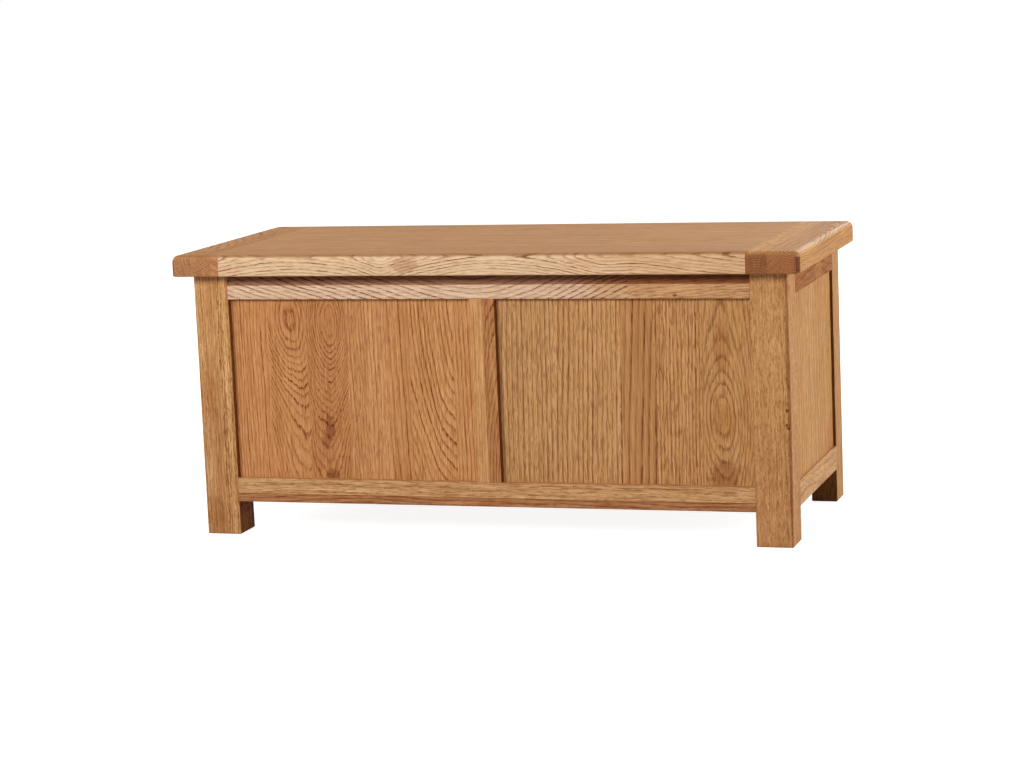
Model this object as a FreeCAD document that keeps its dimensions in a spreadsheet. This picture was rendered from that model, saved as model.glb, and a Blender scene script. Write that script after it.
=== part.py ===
import FreeCAD, Part
import Sketcher
import os

# Oak blanket chest. Frame: +X to the right, +Y to the back, +Z up. The origin lies on the floor
# under the middle of the lid. Every length is in millimetres and every angle in degrees.

SIZES = [
    ("case_width", 1000.0, "case over the posts, left to right"),
    ("case_depth", 424.0, "case over the posts, front to back"),
    ("case_height", 437.0, "floor to the top of the posts"),
    ("front_post_width", 60.0, "front post along X"),
    ("front_post_depth", 60.0, "front post along Y"),
    ("back_post_width", 44.0, "back post along X"),
    ("back_post_depth", 58.0, "back post along Y"),
    ("post_corner_radius", 3.0, "outer upright corner of a post"),
    ("arris_radius", 1.0, "eased edge of posts, rails and muntins"),
    ("foot_chamfer", 1.5, "edge round the underside of a post"),
    ("bottom_rail_lift", 56.0, "floor to the underside of the bottom rails"),
    ("bottom_rail_height", 40.0, "bottom rail along Z"),
    ("top_rail_height", 41.0, "top rail along Z"),
    ("front_rail_thickness", 28.0, "rails and muntin of the front frame"),
    ("side_rail_thickness", 22.0, "rails and muntin of the side and back frames"),
    ("finger_bevel_height", 17.5, "finger bevel on the front top rail, down its face"),
    ("finger_bevel_depth", 12.5, "finger bevel on the front top rail, into its top"),
    ("muntin_width", 43.0, "muntin along X"),
    ("panel_thickness", 9.0, "panel of every frame"),
    ("front_panel_recess", 12.0, "front panel behind the face of its frame"),
    ("side_panel_recess", 5.0, "side or back panel behind the face of its frame"),
    ("groove_depth", 10.0, "panel groove in rails, posts and muntins"),
    ("panel_end_gap", 2.0, "room for the panel to swell in its groove"),
    ("panel_clearance", 0.1, "panel to each wall of its groove"),
    ("tenon_length", 25.0, "rail tenon"),
    ("tenon_thickness", 9.0, "rail tenon across the rail"),
    ("tenon_shoulder", 5.0, "shoulder on the outer edge of a rail tenon"),
    ("tenon_groove_web", 1.0, "wood left between a rail tenon and the panel groove"),
    ("tenon_clearance", 0.1, "tenon to each cheek of its mortice"),
    ("mortice_end_gap", 1.0, "mortice beyond the end of its tenon"),
    ("ledger_width", 20.0, "ledger strip out from its rail"),
    ("ledger_height", 20.0, "ledger strip along Z"),
    ("ledger_end_gap", 0.5, "ledger strip to the post at each end"),
    ("floor_thickness", 12.0, "floor board"),
    ("floor_drop", 6.0, "floor top below the top of the bottom rails"),
    ("floor_edge_gap", 0.8, "floor to the rails and posts round it"),
    ("floor_tongue_length", 5.0, "tongue along a floor board"),
    ("floor_tongue_thickness", 4.0, "tongue of a floor board along Z"),
    ("floor_tongue_clearance", 0.2, "floor tongue to its groove on every side"),
    ("lid_thickness", 35.0, "lid along Z"),
    ("lid_gap", 0.4, "lid above the posts when it is closed"),
    ("lid_side_overhang", 26.0, "lid past the posts at each side"),
    ("lid_front_overhang", 31.0, "lid past the posts at the front"),
    ("lid_back_overhang", 8.0, "lid past the posts at the back"),
    ("lid_cap_width", 85.0, "end cap along X"),
    ("cap_left_outer_width", 33.0, "outer stave of the left end cap"),
    ("cap_left_middle_width", 37.0, "middle stave of the left end cap"),
    ("cap_right_inner_width", 33.0, "inner stave of the right end cap"),
    ("lid_edge_radius", 11.0, "round-over of the lid's top edges and corners"),
    ("lid_under_radius", 2.5, "eased underside edge of the lid"),
    ("lid_tongue_length", 10.0, "tongue of the lid boards in the end caps"),
    ("lid_tongue_thickness", 12.0, "tongue of the lid boards along Z"),
    ("lid_tongue_setback", 30.0, "tongue back from the lid's front and back edges"),
    ("lid_tongue_clearance", 0.1, "tongue to each cheek of its groove"),
    ("lid_groove_end_gap", 1.0, "end cap groove beyond the tongue"),
    ("hinge_inset", 190.0, "end of the case to the middle of a hinge"),
    ("hinge_length", 76.0, "hinge along X"),
    ("hinge_leaf_width", 20.0, "hinge leaf in from the back of the case"),
    ("hinge_leaf_thickness", 1.8, "hinge leaf"),
    ("hinge_fit", 0.1, "hinge leaf to the edge of its recess"),
    ("knuckle_radius", 3.5, "outside of the hinge knuckles"),
    ("knuckle_gap", 0.3, "one knuckle to the next, and to the other leaf"),
    ("knuckle_setback", 0.2, "hinge knuckles behind the back of the case"),
    ("knuckle_room", 0.7, "lid wood round the hinge knuckles"),
    ("hinge_pin_radius", 1.75, "hinge pin"),
    ("hinge_pin_clearance", 0.05, "hinge pin in the knuckles"),
    ("hinge_pin_head_radius", 2.8, "head at each end of the hinge pin"),
    ("hinge_pin_head_length", 1.0, "hinge pin head along X"),
    ("hinge_screw_pitch", 25.0, "hinge screw to hinge screw"),
    ("screw_radius", 1.75, "hardware screw shank"),
    ("screw_head_radius", 3.4, "hardware screw head"),
    ("screw_length", 16.0, "hardware screw with its head"),
    ("screw_hole_clearance", 0.1, "screw shank to the hole in metal"),
    ("pilot_clearance", 0.05, "screw shank to the hole in wood"),
    ("pilot_end_gap", 0.5, "hole in wood beyond the tip of the screw"),
    ("ledger_screw_radius", 2.0, "ledger screw shank"),
    ("ledger_screw_head_radius", 3.9, "ledger screw head"),
    ("ledger_screw_length", 35.0, "ledger screw with its head"),
    ("ledger_screw_inset", 60.0, "end of a ledger to its first screw"),
    ("strut_reach", 200.0, "lid hinge axis to each pivot of a gas strut"),
    ("strut_lid_angle", 4.0, "upper pivot below the closed lid's hinge plane"),
    ("strut_apex_angle", 75.0, "angle at the hinge between the two pivots, lid closed"),
    ("strut_offset", 14.0, "middle of a strut in from the inner face of the back post"),
    ("tube_radius", 9.0, "gas strut cylinder"),
    ("tube_wall", 1.4, "gas strut cylinder wall"),
    ("tube_end_thickness", 6.0, "closed end of the cylinder"),
    ("tube_guide_length", 12.0, "rod guide at the open end of the cylinder"),
    ("tube_edge_radius", 1.5, "rolled edge at the ends of the cylinder"),
    ("tube_rod_gap", 4.0, "cylinder to the rod's eye, strut closed"),
    ("strut_rod_radius", 4.0, "gas strut rod"),
    ("strut_rod_clearance", 0.1, "rod in its guide"),
    ("piston_length", 8.0, "piston on the end of the rod"),
    ("piston_clearance", 0.3, "piston to the cylinder wall"),
    ("piston_end_gap", 2.0, "piston to the closed end, strut closed"),
    ("eye_radius", 8.0, "strut eye round its stud"),
    ("eye_thickness", 9.0, "strut eye along X"),
    ("eye_neck_radius", 6.0, "neck between the eye and the strut"),
    ("tube_eye_length", 14.0, "stud to the cylinder's closed end"),
    ("rod_eye_length", 20.0, "stud to the end of the rod"),
    ("spigot_radius", 3.0, "threaded spigot in a strut eye"),
    ("spigot_length", 5.0, "threaded spigot in a strut eye"),
    ("spigot_clearance", 0.05, "spigot in its hole"),
    ("stud_radius", 4.0, "stud of a strut bracket"),
    ("stud_clearance", 0.05, "stud in the strut's eye"),
    ("stud_head_radius", 6.0, "shoulder and head of a stud"),
    ("stud_head_length", 1.5, "head of a stud"),
    ("stud_side_gap", 0.3, "strut eye to the shoulder and to the head"),
    ("bracket_thickness", 3.0, "strut bracket plate"),
    ("bracket_width", 24.0, "strut bracket plate along Y"),
    ("case_bracket_height", 50.0, "bracket plate on the back post"),
    ("lid_bracket_length", 50.0, "bracket plate under the lid along Y"),
    ("lid_bracket_depth", 30.0, "bracket plate under the lid along X"),
    ("lid_bracket_drop", 10.0, "bracket flange below the upper pivot"),
    ("bracket_corner_radius", 4.0, "corners of the bracket plates"),
    ("bracket_screw_spread", 14.0, "bracket screw from the pivot"),
    ("case_bracket_screw_spread", 18.0, "back post bracket screw from the pivot"),
    ("lid_bracket_screw_inset", 8.0, "lid bracket screw from the plate's inner edge"),
    ("screw_point_length", 1.5, "point of a screw, as a share of its shank's radius"),
    ("screw_point_flat", 0.2, "end of a screw's point, as a share of its shank's radius"),
    ("driver_slot_length", 1.1, "cross slot, as a share of the head's radius"),
    ("driver_slot_width", 0.22, "cross slot, as a share of the head's radius"),
    ("driver_slot_depth", 0.7, "cross slot, as a share of the head's height"),
]

LID_BOARDS = 5
FLOOR_BOARDS = 4
KNUCKLES = 5
HINGE_SCREWS = 3
LONG_LEDGER_SCREWS = 4
SHORT_LEDGER_SCREWS = 2
SAME_PLACE = 1e-4
SIDES = ((-1, "left"), (1, "right"))

document = FreeCAD.newDocument("BlanketChest")
sheet = document.addObject("Spreadsheet::Sheet", "Sizes")
for row, (alias, number, meaning) in enumerate(SIZES, start=1):
    sheet.set(f"A{row}", meaning)
    sheet.set(f"B{row}", str(number))
    sheet.setAlias(f"B{row}", alias)
document.recompute()

nodes = []


# Expressions over the spreadsheet

class Term:
    """A size written as an expression over the spreadsheet's cells."""

    def __init__(self, text):
        self.text = text

    def __add__(self, other):
        return Term(f"({self.text} + {text_of(other)})")

    def __sub__(self, other):
        return Term(f"({self.text} - {text_of(other)})")

    def __mul__(self, other):
        return Term(f"({self.text} * {text_of(other)})")

    def __truediv__(self, other):
        return Term(f"({self.text} / {text_of(other)})")

    def __neg__(self):
        return Term(f"(0 - {self.text})")

    def value(self):
        return float(sheet.evalExpression(self.text))


class Cells:
    """Gives the term that reads a cell, by the cell's alias."""

    def __getattr__(self, alias):
        return Term(f"Sizes.{alias}")


def text_of(other):
    return other.text if isinstance(other, Term) else str(other)


def cosine(angle):
    return Term(f"cos({angle.text})")


def sine(angle):
    return Term(f"sin({angle.text})")


S = Cells()
ZERO = Term("0")


# One sub-part as a body

class Piece:
    """A body whose features are given in the chest's frame, or in its own frame when it is turned."""

    def __init__(self, label, place, turn=None):
        self.label = label
        self.body = document.addObject("PartDesign::Body", label)
        self.body.Label = label
        self.base = (ZERO, ZERO, ZERO) if turn else place
        if turn:
            self.body.Placement = FreeCAD.Placement(
                FreeCAD.Vector(), FreeCAD.Rotation(FreeCAD.Vector(1, 0, 0), turn.value())
            )
            self.body.setExpression("Placement.Rotation.Angle", turn.text)
        for axis, term in zip("xyz", place):
            self.body.setExpression(f"Placement.Base.{axis}", term.text)
        nodes.append(self.body)

    def local(self, point):
        return [term - low for term, low in zip(point, self.base)]

    def sketch(self, name, axis, point):
        """A sketch square to an axis, with its own origin at a point."""
        role = {"x": "YZ_Plane", "y": "XZ_Plane", "z": "XY_Plane"}[axis]
        plane = next(f for f in self.body.Origin.OriginFeatures if f.Role == role)
        x, y, z = self.local(point)
        offset = {"x": (y, z, x), "y": (x, z, -y), "z": (x, y, z)}[axis]
        made = self.body.newObject("Sketcher::SketchObject", f"{self.label}_{name}_sketch")
        made.AttachmentSupport = (plane, [""])
        made.MapMode = "FlatFace"
        for letter, term in zip("xyz", offset):
            made.setExpression(f"AttachmentOffset.Base.{letter}", term.text)
        return made

    def feature(self, kind, name, profile, length):
        made = self.body.newObject(f"PartDesign::{kind}", f"{self.label}_{name}")
        made.Profile = profile
        made.setExpression("Length", length.text)
        return made

    def pad_box(self, name, low, size):
        profile = self.sketch(name, "z", low)
        draw_rectangle(profile, size[0], size[1])
        self.feature("Pad", name, profile, size[2])

    def cut_box(self, name, low, size):
        profile = self.sketch(name, "z", (low[0], low[1], low[2] + size[2]))
        draw_rectangle(profile, size[0], size[1])
        self.feature("Pocket", name, profile, size[2])

    def pad_round(self, name, axis, low, radius, length):
        """A round bar from its low end along an axis. A pad on the XZ plane grows towards -Y."""
        start = moved(low, axis, length) if axis == "y" else low
        profile = self.sketch(name, axis, start)
        draw_circle(profile, radius)
        self.feature("Pad", name, profile, length)

    def cut_round(self, name, axis, low, radius, length):
        """A round hole from its low end along an axis. A pocket on the XZ plane runs towards +Y."""
        start = low if axis == "y" else moved(low, axis, length)
        profile = self.sketch(name, axis, start)
        draw_circle(profile, radius)
        self.feature("Pocket", name, profile, length)

    def edges(self, spots, avoid=()):
        """Names of the edges that lie on a spot: a point whose free coordinates are None."""
        document.recompute()
        shape = self.body.Tip.Shape
        chosen = []
        for number, edge in enumerate(shape.Edges, start=1):
            if any(self.lies_on(edge, spot) for spot in spots):
                if not any(self.lies_on(edge, spot) for spot in avoid):
                    chosen.append(f"Edge{number}")
        if not chosen:
            raise RuntimeError(f"{self.label}: no edge to ease")
        return chosen

    def lies_on(self, edge, spot):
        box = edge.BoundBox
        spans = ((box.XMin, box.XMax), (box.YMin, box.YMax), (box.ZMin, box.ZMax))
        for (low, high), term, base in zip(spans, spot, self.base):
            if term is None:
                continue
            place = (term - base).value()
            if abs(low - place) > SAME_PLACE or abs(high - place) > SAME_PLACE:
                return False
        return True

    def dress(self, kind, name, edges, size_name, size):
        base = self.body.Tip
        made = self.body.newObject(f"PartDesign::{kind}", f"{self.label}_{name}")
        made.Base = (base, edges)
        made.setExpression(size_name, size.text)

    def fillet(self, name, radius, spots, avoid=()):
        self.dress("Fillet", name, self.edges(spots, avoid), "Radius", radius)

    def chamfer(self, name, size, spots, avoid=()):
        self.dress("Chamfer", name, self.edges(spots, avoid), "Size", size)

    def countersink(self, radius, size, plane):
        """Countersinks the round holes of one radius that open on a plane."""
        rims = []
        for name in self.edges([plane]):
            curve = self.body.Tip.Shape.getElement(name).Curve
            if isinstance(curve, Part.Circle) and abs(curve.Radius - radius.value()) < SAME_PLACE:
                rims.append(name)
        self.dress("Chamfer", "countersinks", rims, "Size", size)


def moved(point, axis, distance):
    index = "xyz".index(axis)
    return [term + distance if i == index else term for i, term in enumerate(point)]


def draw_rectangle(sketch, width, height):
    """A rectangle with its low corner on the sketch's origin."""
    w, h = width.value(), height.value()
    corners = [(0, 0), (w, 0), (w, h), (0, h)]
    for (x0, y0), (x1, y1) in zip(corners, corners[1:] + corners[:1]):
        sketch.addGeometry(Part.LineSegment(FreeCAD.Vector(x0, y0, 0), FreeCAD.Vector(x1, y1, 0)))
    join_corners(sketch, len(corners))
    limit = SketchLimit(sketch)
    limit.add("Horizontal", 0)
    limit.add("Vertical", 1)
    limit.add("Horizontal", 2)
    limit.add("Vertical", 3)
    limit.add("Coincident", 0, 1, -1, 1)
    limit.bound("wide", width, "DistanceX", 0, 1, 0, 2)
    limit.bound("high", height, "DistanceY", 1, 1, 1, 2)


def draw_wedge(sketch, reach, fall):
    """A right-angled triangle from the sketch's origin: reach along x, fall down y."""
    r, f = reach.value(), fall.value()
    corners = [(0, 0), (r, 0), (0, -f)]
    for (x0, y0), (x1, y1) in zip(corners, corners[1:] + corners[:1]):
        sketch.addGeometry(Part.LineSegment(FreeCAD.Vector(x0, y0, 0), FreeCAD.Vector(x1, y1, 0)))
    join_corners(sketch, len(corners))
    limit = SketchLimit(sketch)
    limit.add("Horizontal", 0)
    limit.add("Vertical", 2)
    limit.add("Coincident", 0, 1, -1, 1)
    limit.bound("reach", reach, "DistanceX", 0, 1, 0, 2)
    limit.bound("fall", fall, "DistanceY", 2, 1, 2, 2)


def draw_circle(sketch, radius):
    """A circle about the sketch's origin."""
    centre = FreeCAD.Vector(0, 0, 0)
    sketch.addGeometry(Part.Circle(centre, FreeCAD.Vector(0, 0, 1), radius.value()))
    limit = SketchLimit(sketch)
    limit.add("Coincident", 0, 3, -1, 1)
    limit.bound("round", radius, "Radius", 0)


def join_corners(sketch, count):
    limit = SketchLimit(sketch)
    for index in range(count):
        limit.add("Coincident", index, 2, (index + 1) % count, 1)


class SketchLimit:
    """Adds constraints to a sketch, and ties the measured ones to the spreadsheet."""

    def __init__(self, sketch):
        self.sketch = sketch

    def add(self, *words):
        return self.sketch.addConstraint(Sketcher.Constraint(*words))

    def bound(self, name, term, *words):
        index = self.add(*words, term.value())
        self.sketch.renameConstraint(index, name)
        self.sketch.setExpression(f"Constraints.{name}", term.text)


# Places that the pieces share

half_width = S.case_width / 2
lid_depth = S.lid_front_overhang + S.case_depth + S.lid_back_overhang
lid_front = -(lid_depth / 2)
lid_back = lid_depth / 2
case_front = lid_front + S.lid_front_overhang
case_back = case_front + S.case_depth
bottom_rail_top = S.bottom_rail_lift + S.bottom_rail_height
top_rail_low = S.case_height - S.top_rail_height
lid_low = S.case_height + S.lid_gap
lid_top = lid_low + S.lid_thickness
lid_half_width = half_width + S.lid_side_overhang
field_half_width = lid_half_width - S.lid_cap_width
front_post_inner = half_width - S.front_post_width
back_post_inner = half_width - S.back_post_width
front_post_back = case_front + S.front_post_depth
back_post_front = case_back - S.back_post_depth
hinge_y = case_back + S.knuckle_setback + S.knuckle_radius
hinge_z = S.case_height + S.lid_gap / 2


# Framed walls

class Wall:
    """A framed side of the case. A place on it is (along, inward from its face, up)."""

    def __init__(self, face, inward, axis, span, thickness, recess):
        self.face = face
        self.inward = inward
        self.axis = axis
        self.low, self.high = span
        self.thickness = thickness
        self.recess = recess

    def box(self, low, size):
        """The chest's low corner and size of a box given on the wall."""
        along, inward, up = low
        wide, deep, tall = size
        depth = self.face + inward if self.inward > 0 else self.face - inward - deep
        if self.axis == "x":
            return (along, depth, up), (wide, deep, tall)
        return (depth, along, up), (deep, wide, tall)

    def plane(self, inward):
        """The spot of everything at one depth behind the wall's face."""
        depth = self.face + inward if self.inward > 0 else self.face - inward
        return (None, depth, None) if self.axis == "x" else (depth, None, None)

    def corner(self, along, up):
        """The spot of an edge on the wall's face."""
        return (along, self.face, up) if self.axis == "x" else (self.face, along, up)


front = Wall(case_front, 1, "x", (-front_post_inner, front_post_inner), S.front_rail_thickness,
             S.front_panel_recess)
back = Wall(case_back, -1, "x", (-back_post_inner, back_post_inner), S.side_rail_thickness,
            S.side_panel_recess)
left = Wall(-half_width, 1, "y", (front_post_back, back_post_front), S.side_rail_thickness,
            S.side_panel_recess)
right = Wall(half_width, -1, "y", (front_post_back, back_post_front), S.side_rail_thickness,
             S.side_panel_recess)


def tenon_heights(rail):
    """Low and high ends of a rail's tenon along Z."""
    web = S.groove_depth + S.tenon_groove_web
    if rail == "top":
        return top_rail_low + web, S.case_height - S.tenon_shoulder
    return S.bottom_rail_lift + S.tenon_shoulder, bottom_rail_top - web


def tenon_box(wall, end, rail, clearance=ZERO, end_gap=ZERO):
    """A rail's tenon, or with clearances the mortice that takes it."""
    low_z, high_z = tenon_heights(rail)
    length = S.tenon_length + end_gap
    along = wall.low - length if end == "low" else wall.high
    inward = (wall.thickness - S.tenon_thickness) / 2 - clearance
    deep = S.tenon_thickness + clearance * 2
    return wall.box((along, inward, low_z - clearance), (length, deep, high_z - low_z + clearance * 2))


def groove_across(wall):
    """Where the panel groove lies behind the wall's face, and how wide it is."""
    return wall.recess - S.panel_clearance, S.panel_thickness + S.panel_clearance * 2


def make_rail(label, wall, rail):
    low_z = top_rail_low if rail == "top" else S.bottom_rail_lift
    height = S.top_rail_height if rail == "top" else S.bottom_rail_height
    length = wall.high - wall.low
    corner, size = wall.box((wall.low, ZERO, low_z), (length, wall.thickness, height))
    piece = Piece(label, corner)
    piece.pad_box("blank", corner, size)
    piece.fillet("arris", S.arris_radius, [wall.corner(None, low_z), wall.corner(None, low_z + height)])
    for end in ("low", "high"):
        piece.pad_box(f"tenon_{end}", *tenon_box(wall, end, rail))
    inward, wide = groove_across(wall)
    groove_z = low_z if rail == "top" else low_z + height - S.groove_depth
    piece.cut_box("groove", *wall.box((wall.low, inward, groove_z), (length, wide, S.groove_depth)))
    return piece


def make_muntin(label, wall):
    left_edge = -(S.muntin_width / 2)
    height = top_rail_low - bottom_rail_top
    corner, size = wall.box((left_edge, ZERO, bottom_rail_top), (S.muntin_width, wall.thickness, height))
    piece = Piece(label, corner)
    piece.pad_box("blank", corner, size)
    piece.fillet("arris", S.arris_radius, [wall.corner(left_edge, None), wall.corner(-left_edge, None)])
    stub = S.groove_depth - S.panel_end_gap
    core = S.muntin_width - S.groove_depth * 2
    for name, low_z in (("foot", bottom_rail_top - stub), ("head", top_rail_low)):
        place = (-(core / 2), wall.recess, low_z)
        piece.pad_box(f"stub_{name}", *wall.box(place, (core, S.panel_thickness, stub)))
    inward, wide = groove_across(wall)
    for name, along in (("left", left_edge), ("right", -left_edge - S.groove_depth)):
        place = (along, inward, bottom_rail_top)
        piece.cut_box(f"groove_{name}", *wall.box(place, (S.groove_depth, wide, height)))


def make_panel(label, wall, low, high):
    """A flat panel that fills the opening from low to high and enters the grooves round it."""
    entry = S.groove_depth - S.panel_end_gap
    height = top_rail_low - bottom_rail_top + entry * 2
    place = (low - entry, wall.recess, bottom_rail_top - entry)
    corner, size = wall.box(place, (high - low + entry * 2, S.panel_thickness, height))
    piece = Piece(label, corner)
    piece.pad_box("blank", corner, size)


def make_front_top_rail():
    piece = make_rail("front_top_rail", front, "top")
    profile = piece.sketch("finger_bevel", "x", (front.high, case_front, S.case_height))
    draw_wedge(profile, S.finger_bevel_depth, S.finger_bevel_height)
    piece.feature("Pocket", "finger_bevel", profile, front.high - front.low)


def bore_strip(piece, wall, ledger_low, ledger_high, count):
    """The pilot holes of a ledger's screws, in a rail."""
    for index, along in enumerate(ledger_screw_places(ledger_low, ledger_high, count)):
        hole = S.ledger_screw_length - S.ledger_width + S.pilot_end_gap
        low, _ = wall.box((along, wall.thickness - hole, ledger_middle), (ZERO, hole, ZERO))
        axis = "y" if wall.axis == "x" else "x"
        radius = S.ledger_screw_radius + S.pilot_clearance
        piece.cut_round(f"pilot_{index}", axis, low, radius, hole)


# Ledgers: strips inside the bottom rails that carry the floor

floor_top = bottom_rail_top - S.floor_drop
floor_low = floor_top - S.floor_thickness
ledger_low_z = floor_low - S.ledger_height
ledger_middle = floor_low - S.ledger_height / 2


def ledger_span(wall):
    return wall.low + S.ledger_end_gap, wall.high - S.ledger_end_gap


def ledger_screw_places(low, high, count):
    first = low + S.ledger_screw_inset
    pitch = (high - low - S.ledger_screw_inset * 2) / (count - 1)
    return [first + pitch * index for index in range(count)]


def ledger_screw_count(wall):
    return LONG_LEDGER_SCREWS if wall.axis == "x" else SHORT_LEDGER_SCREWS


def make_ledger(label, wall):
    low, high = ledger_span(wall)
    place = (low, wall.thickness, ledger_low_z)
    corner, size = wall.box(place, (high - low, S.ledger_width, S.ledger_height))
    piece = Piece(label, corner)
    piece.pad_box("blank", corner, size)
    axis = "y" if wall.axis == "x" else "x"
    radius = S.ledger_screw_radius + S.screw_hole_clearance
    for index, along in enumerate(ledger_screw_places(low, high, ledger_screw_count(wall))):
        hole, _ = wall.box((along, wall.thickness, ledger_middle), (ZERO, S.ledger_width, ZERO))
        piece.cut_round(f"hole_{index}", axis, hole, radius, S.ledger_width)
    piece.countersink(radius, S.ledger_screw_head_radius - S.ledger_screw_radius,
                      wall.plane(wall.thickness + S.ledger_width))


# Case

def make_walls():
    bottom_rails = {
        "front_bottom_rail": front,
        "back_bottom_rail": back,
        "side_bottom_rail_left": left,
        "side_bottom_rail_right": right,
    }
    for label, wall in bottom_rails.items():
        piece = make_rail(label, wall, "bottom")
        low, high = ledger_span(wall)
        bore_strip(piece, wall, low, high, ledger_screw_count(wall))
    make_front_top_rail()
    for label, wall in (("side_top_rail_left", left), ("side_top_rail_right", right)):
        make_rail(label, wall, "top")
    make_muntin("front_muntin", front)
    make_muntin("back_muntin", back)
    half_muntin = S.muntin_width / 2
    for side, wall in (("front", front), ("back", back)):
        make_panel(f"{side}_panel_left", wall, wall.low, -half_muntin)
        make_panel(f"{side}_panel_right", wall, half_muntin, wall.high)
    make_panel("side_panel_left", left, left.low, left.high)
    make_panel("side_panel_right", right, right.low, right.high)


def make_post(label, corner, size, walls):
    """A post with the mortices and grooves of the two walls that meet in it."""
    piece = Piece(label, corner)
    piece.pad_box("blank", corner, size)
    xs = (corner[0], corner[0] + size[0])
    ys = (corner[1], corner[1] + size[1])
    outer = (xs[0] if "left" in label else xs[1], ys[0] if "front" in label else ys[1], None)
    uprights = [(x, y, None) for x in xs for y in ys]
    piece.chamfer("foot", S.foot_chamfer, [(None, None, ZERO)])
    piece.fillet("corner", S.post_corner_radius, [outer])
    piece.fillet("arrises", S.arris_radius, [spot for spot in uprights if spot[:2] != outer[:2]])
    for number, (wall, end) in enumerate(walls):
        for rail in ("top", "bottom"):
            box = tenon_box(wall, end, rail, S.tenon_clearance, S.mortice_end_gap)
            piece.cut_box(f"mortice_{rail}_{number}", *box)
        inward, wide = groove_across(wall)
        along = wall.low - S.groove_depth if end == "low" else wall.high
        low_z = bottom_rail_top - S.groove_depth
        tall = top_rail_low + S.groove_depth - low_z
        box = wall.box((along, inward, low_z), (S.groove_depth, wide, tall))
        piece.cut_box(f"groove_{number}", *box)
    return piece


def make_front_posts():
    size = (S.front_post_width, S.front_post_depth, S.case_height)
    make_post("post_front_left", (-half_width, case_front, ZERO), size, [(front, "low"), (left, "low")])
    make_post("post_front_right", (front_post_inner, case_front, ZERO), size,
              [(front, "high"), (right, "low")])


def make_back_posts():
    size = (S.back_post_width, S.back_post_depth, S.case_height)
    left_post = make_post("post_back_left", (-half_width, back_post_front, ZERO), size,
                          [(back, "low"), (left, "high")])
    right_post = make_post("post_back_right", (back_post_inner, back_post_front, ZERO), size,
                           [(back, "high"), (right, "high")])
    depth = S.screw_length - S.bracket_thickness + S.pilot_end_gap
    for side, post in ((-1, left_post), (1, right_post)):
        for number, up in enumerate((-1, 1)):
            place = (sided(side, back_post_inner, depth), case_pivot_y,
                     case_pivot_z + S.case_bracket_screw_spread * up)
            post.cut_round(f"pilot_{number}", "x", place, S.screw_radius + S.pilot_clearance, depth)


def sided(side, low, length):
    """The low end along X of a stretch that is given for the right side."""
    return low if side > 0 else -(low + length)


def make_floor():
    """Tongue-and-groove boards along the chest, notched round the posts."""
    low_x = -(half_width - S.side_rail_thickness - S.floor_edge_gap)
    low_y = case_front + S.front_rail_thickness + S.floor_edge_gap
    high_y = case_back - S.side_rail_thickness - S.floor_edge_gap
    length = -low_x * 2
    width = (high_y - low_y) / FLOOR_BOARDS
    tongue_z = floor_low + (S.floor_thickness - S.floor_tongue_thickness) / 2
    clearance = S.floor_tongue_clearance
    for number in range(FLOOR_BOARDS):
        corner = (low_x, low_y + width * number, floor_low)
        piece = Piece(f"floor_board_{number + 1}", corner)
        piece.pad_box("blank", corner, (length, width, S.floor_thickness))
        if number > 0:
            size = (length, S.floor_tongue_length + clearance, S.floor_tongue_thickness + clearance * 2)
            piece.cut_box("groove", (low_x, corner[1], tongue_z - clearance), size)
        if number < FLOOR_BOARDS - 1:
            size = (length, S.floor_tongue_length, S.floor_tongue_thickness)
            piece.pad_box("tongue", (low_x, corner[1] + width, tongue_z), size)
        if number == 0:
            notch = front_post_back + S.floor_edge_gap - low_y
            cut_notches(piece, front_post_inner - S.floor_edge_gap, corner[1], notch)
        if number == FLOOR_BOARDS - 1:
            notch_y = back_post_front - S.floor_edge_gap
            cut_notches(piece, back_post_inner - S.floor_edge_gap, notch_y, high_y - notch_y)


def cut_notches(piece, inner_x, low_y, depth):
    outer_x = half_width - S.side_rail_thickness - S.floor_edge_gap
    for side, name in SIDES:
        low_x = sided(side, inner_x, outer_x - inner_x)
        size = (outer_x - inner_x, depth, S.floor_thickness)
        piece.cut_box(f"notch_{name}", (low_x, low_y, floor_low), size)


# Lid

def make_lid_boards():
    """Lengthwise boards with a tongue at each end; the outer two carry the rounded edges."""
    width = lid_depth / LID_BOARDS
    length = field_half_width * 2
    boards = []
    for number in range(LID_BOARDS):
        corner = (-field_half_width, lid_front + width * number, lid_low)
        piece = Piece(f"lid_board_{number + 1}", corner)
        piece.pad_box("blank", corner, (length, width, S.lid_thickness))
        edge_y = {0: lid_front, LID_BOARDS - 1: lid_back}.get(number)
        if edge_y is not None:
            piece.fillet("round_over", S.lid_edge_radius, [(None, edge_y, lid_top)])
            piece.fillet("under_edge", S.lid_under_radius, [(None, edge_y, lid_low)])
        tongue_low = corner[1] + S.lid_tongue_setback if number == 0 else corner[1]
        tongue_high = corner[1] + width
        if number == LID_BOARDS - 1:
            tongue_high = tongue_high - S.lid_tongue_setback
        tongue_z = lid_low + (S.lid_thickness - S.lid_tongue_thickness) / 2
        size = (S.lid_tongue_length, tongue_high - tongue_low, S.lid_tongue_thickness)
        for side, name in SIDES:
            low_x = sided(side, field_half_width, S.lid_tongue_length)
            piece.pad_box(f"tongue_{name}", (low_x, tongue_low, tongue_z), size)
        boards.append(piece)
    return boards


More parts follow.
